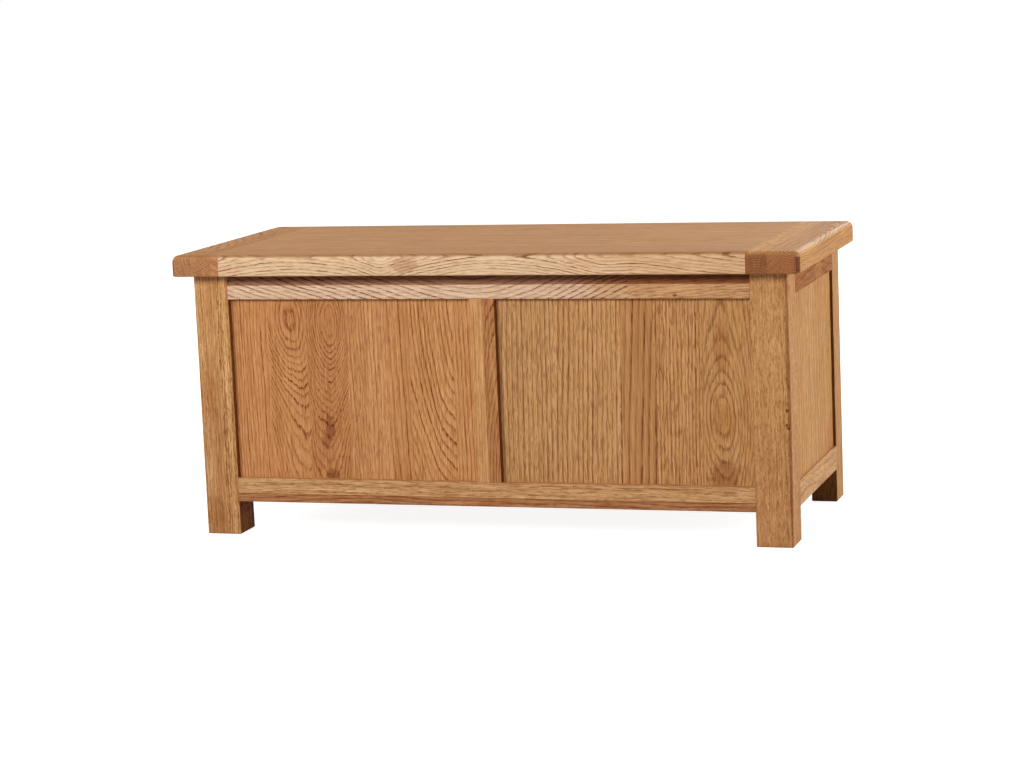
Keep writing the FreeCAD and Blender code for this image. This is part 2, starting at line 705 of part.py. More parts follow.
def make_stave(label, low_x, width, outer_x=None):
    """A front-to-back stave of an end cap. The outer stave is rounded along its side as well."""
    corner = (low_x, lid_front, lid_low)
    piece = Piece(label, corner)
    piece.pad_box("blank", corner, (width, lid_depth, S.lid_thickness))
    over = [(None, lid_front, lid_top), (None, lid_back, lid_top)]
    under = [(None, lid_front, lid_low), (None, lid_back, lid_low)]
    if outer_x is None:
        piece.fillet("round_over", S.lid_edge_radius, over)
        piece.fillet("under_edge", S.lid_under_radius, under)
        return piece
    corners = [(outer_x, lid_front, None), (outer_x, lid_back, None)]
    piece.fillet("round_over", S.lid_edge_radius, over + corners + [(outer_x, None, lid_top)])
    inner_x = low_x + width if outer_x is low_x else low_x
    piece.fillet("under_edge", S.lid_under_radius, [(None, None, lid_low)], avoid=[(inner_x, None, None)])
    return piece


def cut_cap_groove(piece, side):
    """The stopped groove that takes the tongues of the lid boards."""
    clearance = S.lid_tongue_clearance
    depth = S.lid_tongue_length + S.lid_groove_end_gap
    low_y = lid_front + S.lid_tongue_setback - clearance
    low_z = lid_low + (S.lid_thickness - S.lid_tongue_thickness) / 2 - clearance
    size = (depth, -low_y * 2, S.lid_tongue_thickness + clearance * 2)
    piece.cut_box("groove", (sided(side, field_half_width, depth), low_y, low_z), size)


def make_lid_caps():
    outer = S.cap_left_outer_width
    middle = S.cap_left_middle_width
    inner = S.lid_cap_width - outer - middle
    make_stave("lid_cap_left_outer", -lid_half_width, outer, outer_x=-lid_half_width)
    make_stave("lid_cap_left_middle", -lid_half_width + outer, middle)
    cut_cap_groove(make_stave("lid_cap_left_inner", -lid_half_width + outer + middle, inner), -1)
    cut_cap_groove(make_stave("lid_cap_right_inner", field_half_width, S.cap_right_inner_width), 1)
    make_stave("lid_cap_right_outer", field_half_width + S.cap_right_inner_width,
               S.lid_cap_width - S.cap_right_inner_width, outer_x=lid_half_width)


# Hinges

leaf_inner_y = case_back - S.hinge_leaf_width
leaf_outer_y = hinge_y - S.knuckle_radius - S.knuckle_gap
knuckle_length = (S.hinge_length - S.knuckle_gap * (KNUCKLES - 1)) / KNUCKLES
leaf_screw_y = (leaf_inner_y + leaf_outer_y) / 2


def hinge_middle(side):
    return (half_width - S.hinge_inset) * side


def hinge_screw_xs(side):
    first = hinge_middle(side) - S.hinge_screw_pitch * (HINGE_SCREWS - 1) / 2
    return [first + S.hinge_screw_pitch * index for index in range(HINGE_SCREWS)]


def make_leaf(label, side, low_z, face_z, knuckles):
    """A leaf plate with its knuckles. face_z is the face that its screws enter."""
    low_x = hinge_middle(side) - S.hinge_length / 2
    corner = (low_x, leaf_inner_y, low_z)
    piece = Piece(label, corner)
    size = (S.hinge_length, leaf_outer_y - leaf_inner_y, S.hinge_leaf_thickness)
    piece.pad_box("plate", corner, size)
    for number in knuckles:
        start = low_x + (knuckle_length + S.knuckle_gap) * number
        lug = (knuckle_length, hinge_y - leaf_outer_y, S.hinge_leaf_thickness)
        piece.pad_box(f"lug_{number}", (start, leaf_outer_y, low_z), lug)
        piece.pad_round(f"knuckle_{number}", "x", (start, hinge_y, hinge_z), S.knuckle_radius,
                        knuckle_length)
    bore = S.hinge_pin_radius + S.hinge_pin_clearance
    piece.cut_round("bore", "x", (low_x, hinge_y, hinge_z), bore, S.hinge_length)
    radius = S.screw_radius + S.screw_hole_clearance
    for number, x in enumerate(hinge_screw_xs(side)):
        piece.cut_round(f"hole_{number}", "z", (x, leaf_screw_y, low_z), radius, S.hinge_leaf_thickness)
    piece.countersink(radius, S.screw_head_radius - S.screw_radius, (None, None, face_z))


def make_hinge(side, name):
    case_leaf_low = S.case_height - S.hinge_leaf_thickness
    odd = range(1, KNUCKLES, 2)
    even = range(0, KNUCKLES, 2)
    make_leaf(f"hinge_case_leaf_{name}", side, case_leaf_low, S.case_height, even)
    make_leaf(f"hinge_lid_leaf_{name}", side, lid_low, lid_low, odd)
    low_x = hinge_middle(side) - S.hinge_length / 2
    start = (low_x - S.hinge_pin_head_length, hinge_y, hinge_z)
    pin = Piece(f"hinge_pin_{name}", start)
    pin.pad_round("shank", "x", (low_x, hinge_y, hinge_z), S.hinge_pin_radius, S.hinge_length)
    for end, place in (("low", start), ("high", (low_x + S.hinge_length, hinge_y, hinge_z))):
        pin.pad_round(f"head_{end}", "x", place, S.hinge_pin_head_radius, S.hinge_pin_head_length)


def make_back_top_rail():
    """The rail that carries the hinges: recesses for their leaves, and pilot holes."""
    piece = make_rail("back_top_rail", back, "top")
    depth = S.screw_length - S.hinge_leaf_thickness + S.pilot_end_gap
    low_z = S.case_height - S.hinge_leaf_thickness
    for side, name in SIDES:
        cut_leaf_recess(piece, side, name, low_z, case_back)
        for number, x in enumerate(hinge_screw_xs(side)):
            place = (x, leaf_screw_y, low_z - depth)
            radius = S.screw_radius + S.pilot_clearance
            piece.cut_round(f"pilot_{name}_{number}", "z", place, radius, depth)


def cut_leaf_recess(piece, side, name, low_z, high_y):
    low_x = hinge_middle(side) - S.hinge_length / 2 - S.hinge_fit
    low_y = leaf_inner_y - S.hinge_fit
    size = (S.hinge_length + S.hinge_fit * 2, high_y - low_y, S.hinge_leaf_thickness)
    piece.cut_box(f"recess_{name}", (low_x, low_y, low_z), size)


def fit_lid_hardware(boards):
    """Recesses, knuckle notches and pilot holes in the lid boards."""
    back_board = boards[-1]
    notch_reach = S.knuckle_radius + S.knuckle_room
    pilot = S.screw_radius + S.pilot_clearance
    leaf_depth = S.screw_length - S.hinge_leaf_thickness + S.pilot_end_gap
    plate_depth = S.screw_length - S.bracket_thickness + S.pilot_end_gap
    for side, name in SIDES:
        cut_leaf_recess(back_board, side, name, lid_low, lid_back)
        end_room = S.hinge_pin_head_length + S.knuckle_room
        notch_low = (hinge_middle(side) - S.hinge_length / 2 - end_room, hinge_y - notch_reach, lid_low)
        notch_size = (S.hinge_length + end_room * 2, lid_back - hinge_y + notch_reach,
                      hinge_z + notch_reach - lid_low)
        back_board.cut_box(f"knuckle_notch_{name}", notch_low, notch_size)
        for number, x in enumerate(hinge_screw_xs(side)):
            place = (x, leaf_screw_y, lid_low + S.hinge_leaf_thickness)
            back_board.cut_round(f"pilot_{name}_{number}", "z", place, pilot, leaf_depth)
        for number, way in enumerate((-1, 1)):
            y = lid_pivot_y + S.bracket_screw_spread * way
            place = (lid_bracket_screw_x * side, y, lid_low)
            for board in boards_over(boards, y, pilot):
                board.cut_round(f"bracket_pilot_{name}_{number}", "z", place, pilot, plate_depth)


def boards_over(boards, y, radius):
    """The lid boards that a hole of one radius reaches at a place along Y."""
    width = lid_depth / LID_BOARDS
    reached = {int(((edge - lid_front) / width).value()) for edge in (y - radius, y + radius)}
    return [boards[number] for number in sorted(reached)]


# Gas struts: with both pivots at the same reach from the hinge axis, the cylinder turns by half
# of the lid's angle, and the rod stays in line with it.

case_pivot_angle = S.strut_lid_angle + S.strut_apex_angle
case_pivot_y = hinge_y - S.strut_reach * cosine(case_pivot_angle)
case_pivot_z = hinge_z - S.strut_reach * sine(case_pivot_angle)
lid_pivot_y = hinge_y - S.strut_reach * cosine(S.strut_lid_angle)
lid_pivot_z = hinge_z - S.strut_reach * sine(S.strut_lid_angle)
strut_lean = S.strut_lid_angle + S.strut_apex_angle / 2
strut_length = S.strut_reach * sine(S.strut_apex_angle / 2) * 2
strut_x = back_post_inner - S.strut_offset
lid_bracket_inner = back_post_inner - S.lid_bracket_depth
lid_bracket_screw_x = lid_bracket_inner + S.lid_bracket_screw_inset
tube_end = strut_length - S.rod_eye_length - S.tube_rod_gap


def pad_stud(piece, side, y, z):
    """Shoulder, stud and head of a bracket, from its plate in to the strut's eye."""
    plate_x = back_post_inner - S.bracket_thickness
    eye_outer = strut_x + S.eye_thickness / 2
    eye_inner = strut_x - S.eye_thickness / 2
    head_outer = eye_inner - S.stud_side_gap
    head_inner = head_outer - S.stud_head_length
    stretches = (
        ("shoulder", eye_outer + S.stud_side_gap, plate_x, S.stud_head_radius),
        ("stud", head_outer, eye_outer + S.stud_side_gap, S.stud_radius),
        ("head", head_inner, head_outer, S.stud_head_radius),
    )
    for name, low, high, radius in stretches:
        place = (sided(side, low, high - low), y, z)
        piece.pad_round(name, "x", place, radius, high - low)


def make_case_bracket(side, name):
    low_x = back_post_inner - S.bracket_thickness
    corner = (sided(side, low_x, S.bracket_thickness), case_pivot_y - S.bracket_width / 2,
              case_pivot_z - S.case_bracket_height / 2)
    piece = Piece(f"strut_case_bracket_{name}", corner)
    size = (S.bracket_thickness, S.bracket_width, S.case_bracket_height)
    piece.pad_box("plate", corner, size)
    ys = (corner[1], corner[1] + size[1])
    zs = (corner[2], corner[2] + size[2])
    piece.fillet("corners", S.bracket_corner_radius, [(None, y, z) for y in ys for z in zs])
    radius = S.screw_radius + S.screw_hole_clearance
    for number, up in enumerate((-1, 1)):
        place = (corner[0], case_pivot_y, case_pivot_z + S.case_bracket_screw_spread * up)
        piece.cut_round(f"hole_{number}", "x", place, radius, S.bracket_thickness)
    piece.countersink(radius, S.screw_head_radius - S.screw_radius, (low_x * side, None, None))
    pad_stud(piece, side, case_pivot_y, case_pivot_z)


def make_lid_bracket(side, name):
    low_z = lid_low - S.bracket_thickness
    corner = (sided(side, lid_bracket_inner, S.lid_bracket_depth),
              lid_pivot_y - S.lid_bracket_length / 2, low_z)
    piece = Piece(f"strut_lid_bracket_{name}", corner)
    size = (S.lid_bracket_depth, S.lid_bracket_length, S.bracket_thickness)
    piece.pad_box("plate", corner, size)
    inner_x = lid_bracket_inner * side
    ys = (corner[1], corner[1] + size[1])
    piece.fillet("corners", S.bracket_corner_radius, [(inner_x, y, None) for y in ys])
    radius = S.screw_radius + S.screw_hole_clearance
    for number, way in enumerate((-1, 1)):
        place = (lid_bracket_screw_x * side, lid_pivot_y + S.bracket_screw_spread * way, low_z)
        piece.cut_round(f"hole_{number}", "z", place, radius, S.bracket_thickness)
    piece.countersink(radius, S.screw_head_radius - S.screw_radius, (None, None, low_z))
    flange_low = lid_pivot_z - S.lid_bracket_drop
    flange = (sided(side, back_post_inner - S.bracket_thickness, S.bracket_thickness),
              lid_pivot_y - S.bracket_width / 2, flange_low)
    piece.pad_box("flange", flange, (S.bracket_thickness, S.bracket_width, low_z - flange_low))
    ends = (flange[1], flange[1] + S.bracket_width)
    piece.fillet("flange_corners", S.bracket_corner_radius, [(None, y, flange_low) for y in ends])
    pad_stud(piece, side, lid_pivot_y, lid_pivot_z)


def make_eye(label, place, height, neck, way):
    """A strut's end fitting: an eye on the stud, and a neck that runs up or down to the strut."""
    piece = Piece(label, place, turn=strut_lean)
    half = S.eye_thickness / 2
    piece.pad_round("eye", "x", (-half, ZERO, height), S.eye_radius, S.eye_thickness)
    web_low = height if way > 0 else height - S.eye_radius
    web = (S.eye_thickness, S.eye_neck_radius * 2, S.eye_radius)
    piece.pad_box("web", (-half, -S.eye_neck_radius, web_low), web)
    neck_low = height + S.eye_radius if way > 0 else height - neck
    piece.pad_round("neck", "z", (ZERO, ZERO, neck_low), S.eye_neck_radius, neck - S.eye_radius)
    bore = S.stud_radius + S.stud_clearance
    piece.cut_round("bore", "x", (-half, ZERO, height), bore, S.eye_thickness)
    hole_low = height + neck - S.spigot_length if way > 0 else height - neck
    hole = S.spigot_radius + S.spigot_clearance
    piece.cut_round("spigot_hole", "z", (ZERO, ZERO, hole_low), hole, S.spigot_length)


def make_tube(label, place):
    """The cylinder: a closed end with a spigot, a hollow, and the rod's guide at the open end."""
    piece = Piece(label, place, turn=strut_lean)
    start = S.tube_eye_length
    piece.pad_round("wall", "z", (ZERO, ZERO, start), S.tube_radius, tube_end - start)
    piece.fillet("rolled_ends", S.tube_edge_radius, [(None, None, start), (None, None, tube_end)])
    low = start - S.spigot_length
    piece.pad_round("spigot", "z", (ZERO, ZERO, low), S.spigot_radius, S.spigot_length)
    guide = S.strut_rod_radius + S.strut_rod_clearance
    hollow_low = start + S.tube_end_thickness
    hollow_high = tube_end - S.tube_guide_length
    piece.cut_round("guide", "z", (ZERO, ZERO, hollow_low), guide, tube_end - hollow_low)
    hollow = S.tube_radius - S.tube_wall
    piece.cut_round("hollow", "z", (ZERO, ZERO, hollow_low), hollow, hollow_high - hollow_low)


def make_rod(label, place):
    piece = Piece(label, place, turn=strut_lean)
    low = S.tube_eye_length + S.tube_end_thickness + S.piston_end_gap
    high = strut_length - S.rod_eye_length
    piston = S.tube_radius - S.tube_wall - S.piston_clearance
    piece.pad_round("rod", "z", (ZERO, ZERO, low), S.strut_rod_radius, high - low)
    piece.pad_round("piston", "z", (ZERO, ZERO, low), piston, S.piston_length)
    piece.pad_round("spigot", "z", (ZERO, ZERO, high), S.spigot_radius, S.spigot_length)


def make_strut(side, name):
    make_case_bracket(side, name)
    make_lid_bracket(side, name)
    pivot = (strut_x * side, case_pivot_y, case_pivot_z)
    make_eye(f"strut_case_eye_{name}", pivot, ZERO, S.tube_eye_length, 1)
    make_tube(f"strut_cylinder_{name}", pivot)
    make_rod(f"strut_rod_{name}", pivot)
    make_eye(f"strut_rod_eye_{name}", pivot, strut_length, S.rod_eye_length, -1)


# Screws: a group of separate solids, placed from the same values as their holes

def screw_shape(radius, head_radius, length):
    """A countersunk screw that points down, with the middle of its head's face at the origin."""
    head_height = head_radius - radius
    point = radius * S.screw_point_length.value()
    flat = radius * S.screw_point_flat.value()
    head = Part.makeCone(radius, head_radius, head_height, FreeCAD.Vector(0, 0, -head_height))
    shank = Part.makeCylinder(radius, length - point, FreeCAD.Vector(0, 0, point - length))
    tip = Part.makeCone(flat, radius, point, FreeCAD.Vector(0, 0, -length))
    whole = head.fuse([shank, tip]).removeSplitter()
    arm = head_radius * S.driver_slot_length.value()
    slot = head_radius * S.driver_slot_width.value()
    sink = head_height * S.driver_slot_depth.value()
    for wide, deep in ((arm, slot), (slot, arm)):
        corner = FreeCAD.Vector(-wide / 2, -deep / 2, -sink)
        whole = whole.cut(Part.makeBox(wide, deep, sink * 2, corner))
    return whole


def make_screws(label, spots, radius, head_radius, length):
    """Screws at their heads' places, each pointing along its own direction."""
    shape = screw_shape(radius.value(), head_radius.value(), length.value())
    places = [FreeCAD.Vector(*(term.value() for term in place)) for place, _ in spots]
    solids = []
    for place, (_, direction) in zip(places, spots):
        turn = FreeCAD.Rotation(FreeCAD.Vector(0, 0, -1), FreeCAD.Vector(*direction))
        copy = shape.copy()
        copy.Placement = FreeCAD.Placement(place - places[0], turn)
        solids.append(copy)
    feature = document.addObject("Part::Feature", label)
    feature.Label = label
    feature.Shape = Part.makeCompound(solids)
    feature.Placement = FreeCAD.Placement(places[0], FreeCAD.Rotation())
    nodes.append(feature)


def make_hardware_screws():
    case_spots = []
    lid_spots = []
    for side, _ in SIDES:
        for x in hinge_screw_xs(side):
            case_spots.append(((x, leaf_screw_y, S.case_height), (0, 0, -1)))
            lid_spots.append(((x, leaf_screw_y, lid_low), (0, 0, 1)))
        for way in (-1, 1):
            plate_x = (back_post_inner - S.bracket_thickness) * side
            z = case_pivot_z + S.case_bracket_screw_spread * way
            case_spots.append(((plate_x, case_pivot_y, z), (side, 0, 0)))
            y = lid_pivot_y + S.bracket_screw_spread * way
            lid_spots.append(((lid_bracket_screw_x * side, y, lid_low - S.bracket_thickness), (0, 0, 1)))
    for label, spots in (("case_hardware_screws", case_spots), ("lid_hardware_screws", lid_spots)):
        make_screws(label, spots, S.screw_radius, S.screw_head_radius, S.screw_length)


def make_ledger_screws():
    spots = []
    for wall in (front, back, left, right):
        low, high = ledger_span(wall)
        outward = (0, -wall.inward, 0) if wall.axis == "x" else (-wall.inward, 0, 0)
        for along in ledger_screw_places(low, high, ledger_screw_count(wall)):
            place = (along, wall.thickness + S.ledger_width, ledger_middle)
            spots.append((wall.box(place, (ZERO, ZERO, ZERO))[0], outward))
    make_screws("ledger_screws", spots, S.ledger_screw_radius, S.ledger_screw_head_radius,
                S.ledger_screw_length)


# Checks and files

def check_document():
    """Stops on a failed object, a bad shape, or a pocket that cuts nothing."""
    for item in document.Objects:
        if "Invalid" in item.State or "Error" in item.State:
            raise RuntimeError(f"{item.Label} is {item.State}")
        if item.isDerivedFrom("PartDesign::Pocket"):
            if item.Shape.Volume >= item.BaseFeature.Shape.Volume:
                raise RuntimeError(f"{item.Label} cuts nothing")
    for node in nodes:
        if node.Shape.isNull() or not node.Shape.isValid():
            raise RuntimeError(f"{node.Label} has no valid shape")


def write_nodes():
    os.makedirs("parts", exist_ok=True)
    for node in nodes:
        node.Shape.exportStep(f"parts/{node.Label}.step")


make_front_posts()
make_back_posts()
make_walls()
make_back_top_rail()
for ledger_name, ledger_wall in (("front", front), ("back", back), ("left", left), ("right", right)):
    make_ledger(f"ledger_{ledger_name}", ledger_wall)
make_floor()
lid_boards = make_lid_boards()
fit_lid_hardware(lid_boards)
make_lid_caps()
for hand, hand_name in SIDES:
    make_hinge(hand, hand_name)
    make_strut(hand, hand_name)
make_hardware_screws()
make_ledger_screws()
document.recompute()
check_document()
write_nodes()
print(f"{len(nodes)} nodes written")
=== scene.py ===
import math

import bpy
from mathutils import Matrix, Vector


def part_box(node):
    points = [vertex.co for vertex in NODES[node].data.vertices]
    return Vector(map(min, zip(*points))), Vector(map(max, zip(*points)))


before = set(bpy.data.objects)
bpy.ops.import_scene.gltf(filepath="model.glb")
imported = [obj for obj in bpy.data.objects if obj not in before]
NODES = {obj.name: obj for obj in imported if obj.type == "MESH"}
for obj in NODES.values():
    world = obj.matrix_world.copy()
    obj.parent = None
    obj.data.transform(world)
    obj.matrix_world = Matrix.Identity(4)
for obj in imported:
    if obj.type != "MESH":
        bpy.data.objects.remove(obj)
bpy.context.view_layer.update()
AXIS = {"x": 0, "y": 1, "z": 2}
MM = 1000.0    # millimetres in the frame's metre

# The way a face looks
LEFT, RIGHT, FRONT = (-1, 0, 0), (1, 0, 0), (0, -1, 0)
UP, DOWN, BEVEL = (0, 0, 1), (0, 0, -1), (0, -0.81, 0.58)

# Places in the frame, in millimetres
CASE_FRONT = -200.5
PANEL_FRONT = -188.5
LID_FRONT = -231.5
LID_TOP = 472
LID_EDGE_MIDDLE = 455
BOTTOM_RAIL_LOW, BOTTOM_RAIL_TOP = 56, 96
TOP_RAIL_LOW = 396
BEVEL_LOW = 419


# Colours are written as they should look, 0 to 255

def colour(r, g, b):
    def linear(v):
        v = v / 255
        return v / 12.92 if v <= 0.04045 else ((v + 0.055) / 1.055) ** 2.4
    return (linear(r), linear(g), linear(b))


# Node trees

MIX_INPUTS = (0, 6, 7)    # the factor and the two colours of a Mix node set to colours
MIX_RESULT = 2


class Graph:
    """Adds shader nodes to a tree. An input may be a socket, a number or a tuple."""

    def __init__(self, tree):
        self.tree = tree

    def node(self, kind, inputs=(), out=0, **settings):
        made = self.tree.nodes.new(kind)
        for name, value in settings.items():
            setattr(made, name, value)
        for key, value in dict(inputs).items():
            self.put(made.inputs[key], value)
        return made.outputs[out] if out is not None else made

    def put(self, socket, value):
        if isinstance(value, bpy.types.NodeSocket):
            self.tree.links.new(value, socket)
        elif socket.type == "RGBA":
            socket.default_value = (*value, 1.0)
        else:
            socket.default_value = value

    def math(self, operation, a, b=0.0, c=0.0, clamp=False):
        return self.node("ShaderNodeMath", {0: a, 1: b, 2: c}, operation=operation, use_clamp=clamp)

    def times(self, product, *others):
        for other in others:
            product = self.math("MULTIPLY", product, other)
        return product

    def vector(self, operation, a, b=(0, 0, 0), out="Vector"):
        return self.node("ShaderNodeVectorMath", {0: a, 1: b}, out=out, operation=operation)

    def length(self, vector):
        return self.vector("LENGTH", vector, out="Value")

    def dot(self, a, b):
        return self.vector("DOT_PRODUCT", a, b, out="Value")

    def scaled(self, a, factor):
        return self.node("ShaderNodeVectorMath", {0: a, "Scale": factor}, operation="SCALE")

    def split(self, vector):
        return tuple(self.node("ShaderNodeSeparateXYZ", {"Vector": vector}, out=None).outputs)

    def join(self, x=0.0, y=0.0, z=0.0):
        return self.node("ShaderNodeCombineXYZ", {0: x, 1: y, 2: z})

    def noise(self, vector, detail=2.0, roughness=0.5, out=0):
        inputs = {"Vector": vector, "Scale": 1.0, "Detail": detail, "Roughness": roughness}
        return self.node("ShaderNodeTexNoise", inputs, out=out)

    def step(self, value, low, high):
        """0 at low, 1 at high, smooth between. low may be the larger of the two."""
        inputs = {"Value": value, "From Min": low, "From Max": high}
        return self.node("ShaderNodeMapRange", inputs, interpolation_type="SMOOTHSTEP")

    def spread(self, noise, low, high):
        """Takes the middle of a noise, where nearly all of it lies, onto low to high."""
        inputs = {"Value": noise, "From Min": 0.28, "From Max": 0.72, "To Min": low, "To Max": high}
        return self.node("ShaderNodeMapRange", inputs)

    def raised(self, value, least):
        """Takes 0 to 1 onto least to 1."""
        return self.math("MULTIPLY_ADD", value, 1 - least, least)

    def ramp(self, value, stops, mode="LINEAR"):
        made = self.node("ShaderNodeValToRGB", {"Fac": value}, out=None)
        made.color_ramp.interpolation = mode
        points = made.color_ramp.elements
        while len(points) < len(stops):
            points.new(1.0)
        while len(points) > len(stops):
            points.remove(points[-1])
        for point, (place, tint) in zip(points, stops):
            point.position = place
            point.color = (*tint, 1.0) if isinstance(tint, tuple) else (tint, tint, tint, 1.0)
        return made.outputs["Color"]

    def mix(self, factor, a, b, blend="MIX"):
        inputs = dict(zip(MIX_INPUTS, (factor, a, b)))
        return self.node("ShaderNodeMix", inputs, out=MIX_RESULT, data_type="RGBA", blend_type=blend)


# The oak group

GROUP_SOCKETS = {
    "INPUT": {"Place": "Vector", "Heart": "Vector", "Shape": "Vector", "Looks": "Vector", "Bend": "Float",
              "Wave": "Float", "Stretch": "Float", "Fibre": "Float", "End": "Float", "Light": "Color",
              "Dark": "Color"},
    "OUTPUT": {"Color": "Color", "Height": "Float", "Roughness": "Float"},
}
# Sizes are along the grain and across it, in millimetres
SWAY, RIPPLE, TREMBLE = (190, 42), (34, 7), (9, 2.6)      # how a ring wanders
RIPPLE_SHARE = 0.18                                       # of the sway's reach
TREMBLE_REACH = 1.4
PORE_ROW, DASH, PINHOLE = (24, 1.6), (15, 1.6), (6, 0.4)
FIBRE, HAIR, BAND, BLOTCH = (60, 1.9), (34, 0.8), (420, 13), (80, 30)
FLECK = (1 / 9, 1 / 1.5, 1 / 9)                           # one over its size along, across and deep
FLECK_SLANT = 0.4
# How early the wood is, from the start of a ring to its end
RING = [(0.0, 1.0), (0.16, 1.0), (0.30, 0.34), (0.52, 0.06), (0.88, 0.0), (0.96, 0.3), (1.0, 1.0)]
FAINTEST_RING = 0.4
# Noise below the first number of a pair shows nothing, and above the second it shows fully
ROW_SHOWS, DASH_SHOWS, PINHOLE_SHOWS, FLECK_SHOWS = (0.40, 0.54), (0.53, 0.60), (0.50, 0.62), (0.58, 0.68)
QUARTERED = (0.93, 0.995)         # the rings' slope to the face, as a sine
RED_POWER, BLUE_POWER = 0.7, 1.45
RAYS_PER_RADIAN, RAYS_ALONG_RADIUS = 30.0, 0.03
SPECK = 0.8
ROUGHNESS, ROUGHER_IN_PORES = 0.56, 0.16


def oak_group():
    """Oak as a solid: growth rings about a heart, with pores, fibres and rays, in millimetres.

    Place is along the grain, across it and behind the face. Heart is the rings' middle across the
    face, its depth, and the place along the grain where it comes nearest to the face. Shape is how
    steeply it falls away from there, the ring width and the slope of the grain in the face. Looks is
    the strength of the ring lines, that of the pores, and how far along the grain the fall reaches.
    Bend shifts the rings. Stretch draws out the pores and fibres, and Fibre is the fibres' contrast."""
    tree = bpy.data.node_groups.new("oak", "ShaderNodeTree")
    for in_out, sockets in GROUP_SOCKETS.items():
        for name, kind in sockets.items():
            tree.interface.new_socket(name, in_out=in_out, socket_type=f"NodeSocket{kind}")
    g = Graph(tree)
    given = tree.nodes.new("NodeGroupInput").outputs
    stretch = g.math("DIVIDE", 1.0, given["Stretch"])
    # no two boards share a figure
    place = g.vector("ADD", given["Place"], g.vector("MULTIPLY", given["Heart"], (11, 0, 7)))
    drawn = g.vector("MULTIPLY", place, g.join(stretch, 1.0, 1.0))

    def streaks(size, detail=1.0, roughness=0.5, out=0):
        along, across = size
        spot = g.vector("MULTIPLY", drawn, (1 / along, 1 / across, 1 / across))
        return g.noise(spot, detail, roughness, out)

    def wander(size, reach):
        return g.scaled(g.vector("SUBTRACT", streaks(size, out="Color"), (0.5, 0.5, 0.5)), reach)

    drift = g.vector("ADD", wander(SWAY, given["Wave"]), wander(RIPPLE, g.times(given["Wave"], RIPPLE_SHARE)))
    drift = g.vector("ADD", drift, wander(TREMBLE, g.times(stretch, TREMBLE_REACH)))
    across, behind = ring_place(g, given, g.vector("ADD", given["Place"], drift))
    radius = g.length(g.join(0.0, across, behind))
    turns = g.math("DIVIDE", radius, g.split(given["Shape"])[1])
    chance = g.node("ShaderNodeTexWhiteNoise", {"W": g.math("FLOOR", turns)}, noise_dimensions="1D")
    early = g.times(g.ramp(g.math("FRACT", turns), RING), g.raised(chance, FAINTEST_RING))

    # early wood is a row of dark pores; a few lie between the rows
    line_strength, pore_strength, _ = g.split(given["Looks"])
    line = g.times(early, g.raised(g.step(streaks(PORE_ROW), *ROW_SHOWS), 0.38), line_strength)
    dash = g.times(g.step(streaks(DASH), *DASH_SHOWS), g.raised(early, 0.55))
    pinhole = g.times(g.step(streaks(PINHOLE), *PINHOLE_SHOWS), g.math("MULTIPLY_ADD", early, 0.5, 0.15))
    dark = g.math("MAXIMUM", line, g.times(g.math("MAXIMUM", dash, pinhole), pore_strength), clamp=True)

    wood = g.mix(dark, given["Light"], given["Dark"])
    fibre = streaks(FIBRE, 2.0, 0.6)
    fine = g.times(g.spread(fibre, 0.64, 1.30), g.spread(streaks(HAIR, 2.0, 0.6), 0.80, 1.18))
    broad = g.times(g.spread(streaks(BAND, 2.0), 0.90, 1.10), g.spread(streaks(BLOTCH, 2.0), 0.92, 1.08))
    tone = g.math("POWER", g.times(fine, broad), given["Fibre"])
    # where the rings stand square to the face, the rays lie in it as pale flecks
    quartered = g.step(g.math("DIVIDE", g.math("ABSOLUTE", across), radius), *QUARTERED)
    x, y, z = g.split(place)
    slant = g.join(g.math("MULTIPLY_ADD", y, FLECK_SLANT, x), g.math("MULTIPLY_ADD", x, -FLECK_SLANT, y), z)
    fleck = g.step(g.noise(g.vector("MULTIPLY", slant, FLECK), 1.0), *FLECK_SHOWS)
    tone = g.times(tone, g.math("MULTIPLY_ADD", g.times(fleck, quartered), 0.24, 1.0))
    # darker wood is redder too
    tone = g.join(g.math("POWER", tone, RED_POWER), tone, g.math("POWER", tone, BLUE_POWER))
    wood = g.mix(1.0, wood, tone, "MULTIPLY")

    # end grain: rings and the rays that cross them
    turn = g.math("ARCTAN2", across, behind)
    rays = g.noise(g.join(g.times(turn, RAYS_PER_RADIAN), g.times(radius, RAYS_ALONG_RADIUS)), 1.0)
    end_wood = g.mix(g.times(early, 0.55), given["Light"], given["Dark"])
    speck = g.noise(g.scaled(place, SPECK), 2.0)
    end_tone = g.times(g.spread(rays, 0.78, 1.28), g.spread(speck, 0.82, 1.18))
    end_wood = g.mix(1.0, end_wood, end_tone, "MULTIPLY")

    result = tree.nodes.new("NodeGroupOutput").inputs
    g.put(result["Color"], g.mix(given["End"], wood, end_wood))
    g.put(result["Height"], g.math("MULTIPLY_ADD", dark, -1.0, g.times(fibre, 0.5)))
    g.put(result["Roughness"], g.math("MULTIPLY_ADD", dark, ROUGHER_IN_PORES, ROUGHNESS))
    return tree


def ring_place(g, given, place):
    """How far a place lies from the rings' middle, across the face and behind it."""
    middle_across, middle_depth, nearest = g.split(given["Heart"])
    steepness, _, slope = g.split(given["Shape"])
    reach = g.split(given["Looks"])[2]
    along, across, depth = g.split(place)
    # the rings fall away from the face as a bell does: flat on top, then steep, then level again
    away = g.math("DIVIDE", g.math("SUBTRACT", along, nearest), reach)
    away = g.times(away, away)
    fall = g.times(g.math("DIVIDE", away, g.math("ADD", away, 1.0)), g.times(reach, steepness))
    across = g.math("MULTIPLY_ADD", along, slope, g.math("SUBTRACT", across, middle_across))
    behind = g.math("SUBTRACT", g.math("SUBTRACT", depth, middle_depth), fall)
    return g.math("ADD", across, given["Bend"]), g.math("ADD", behind, given["Bend"])


# The oak's materials

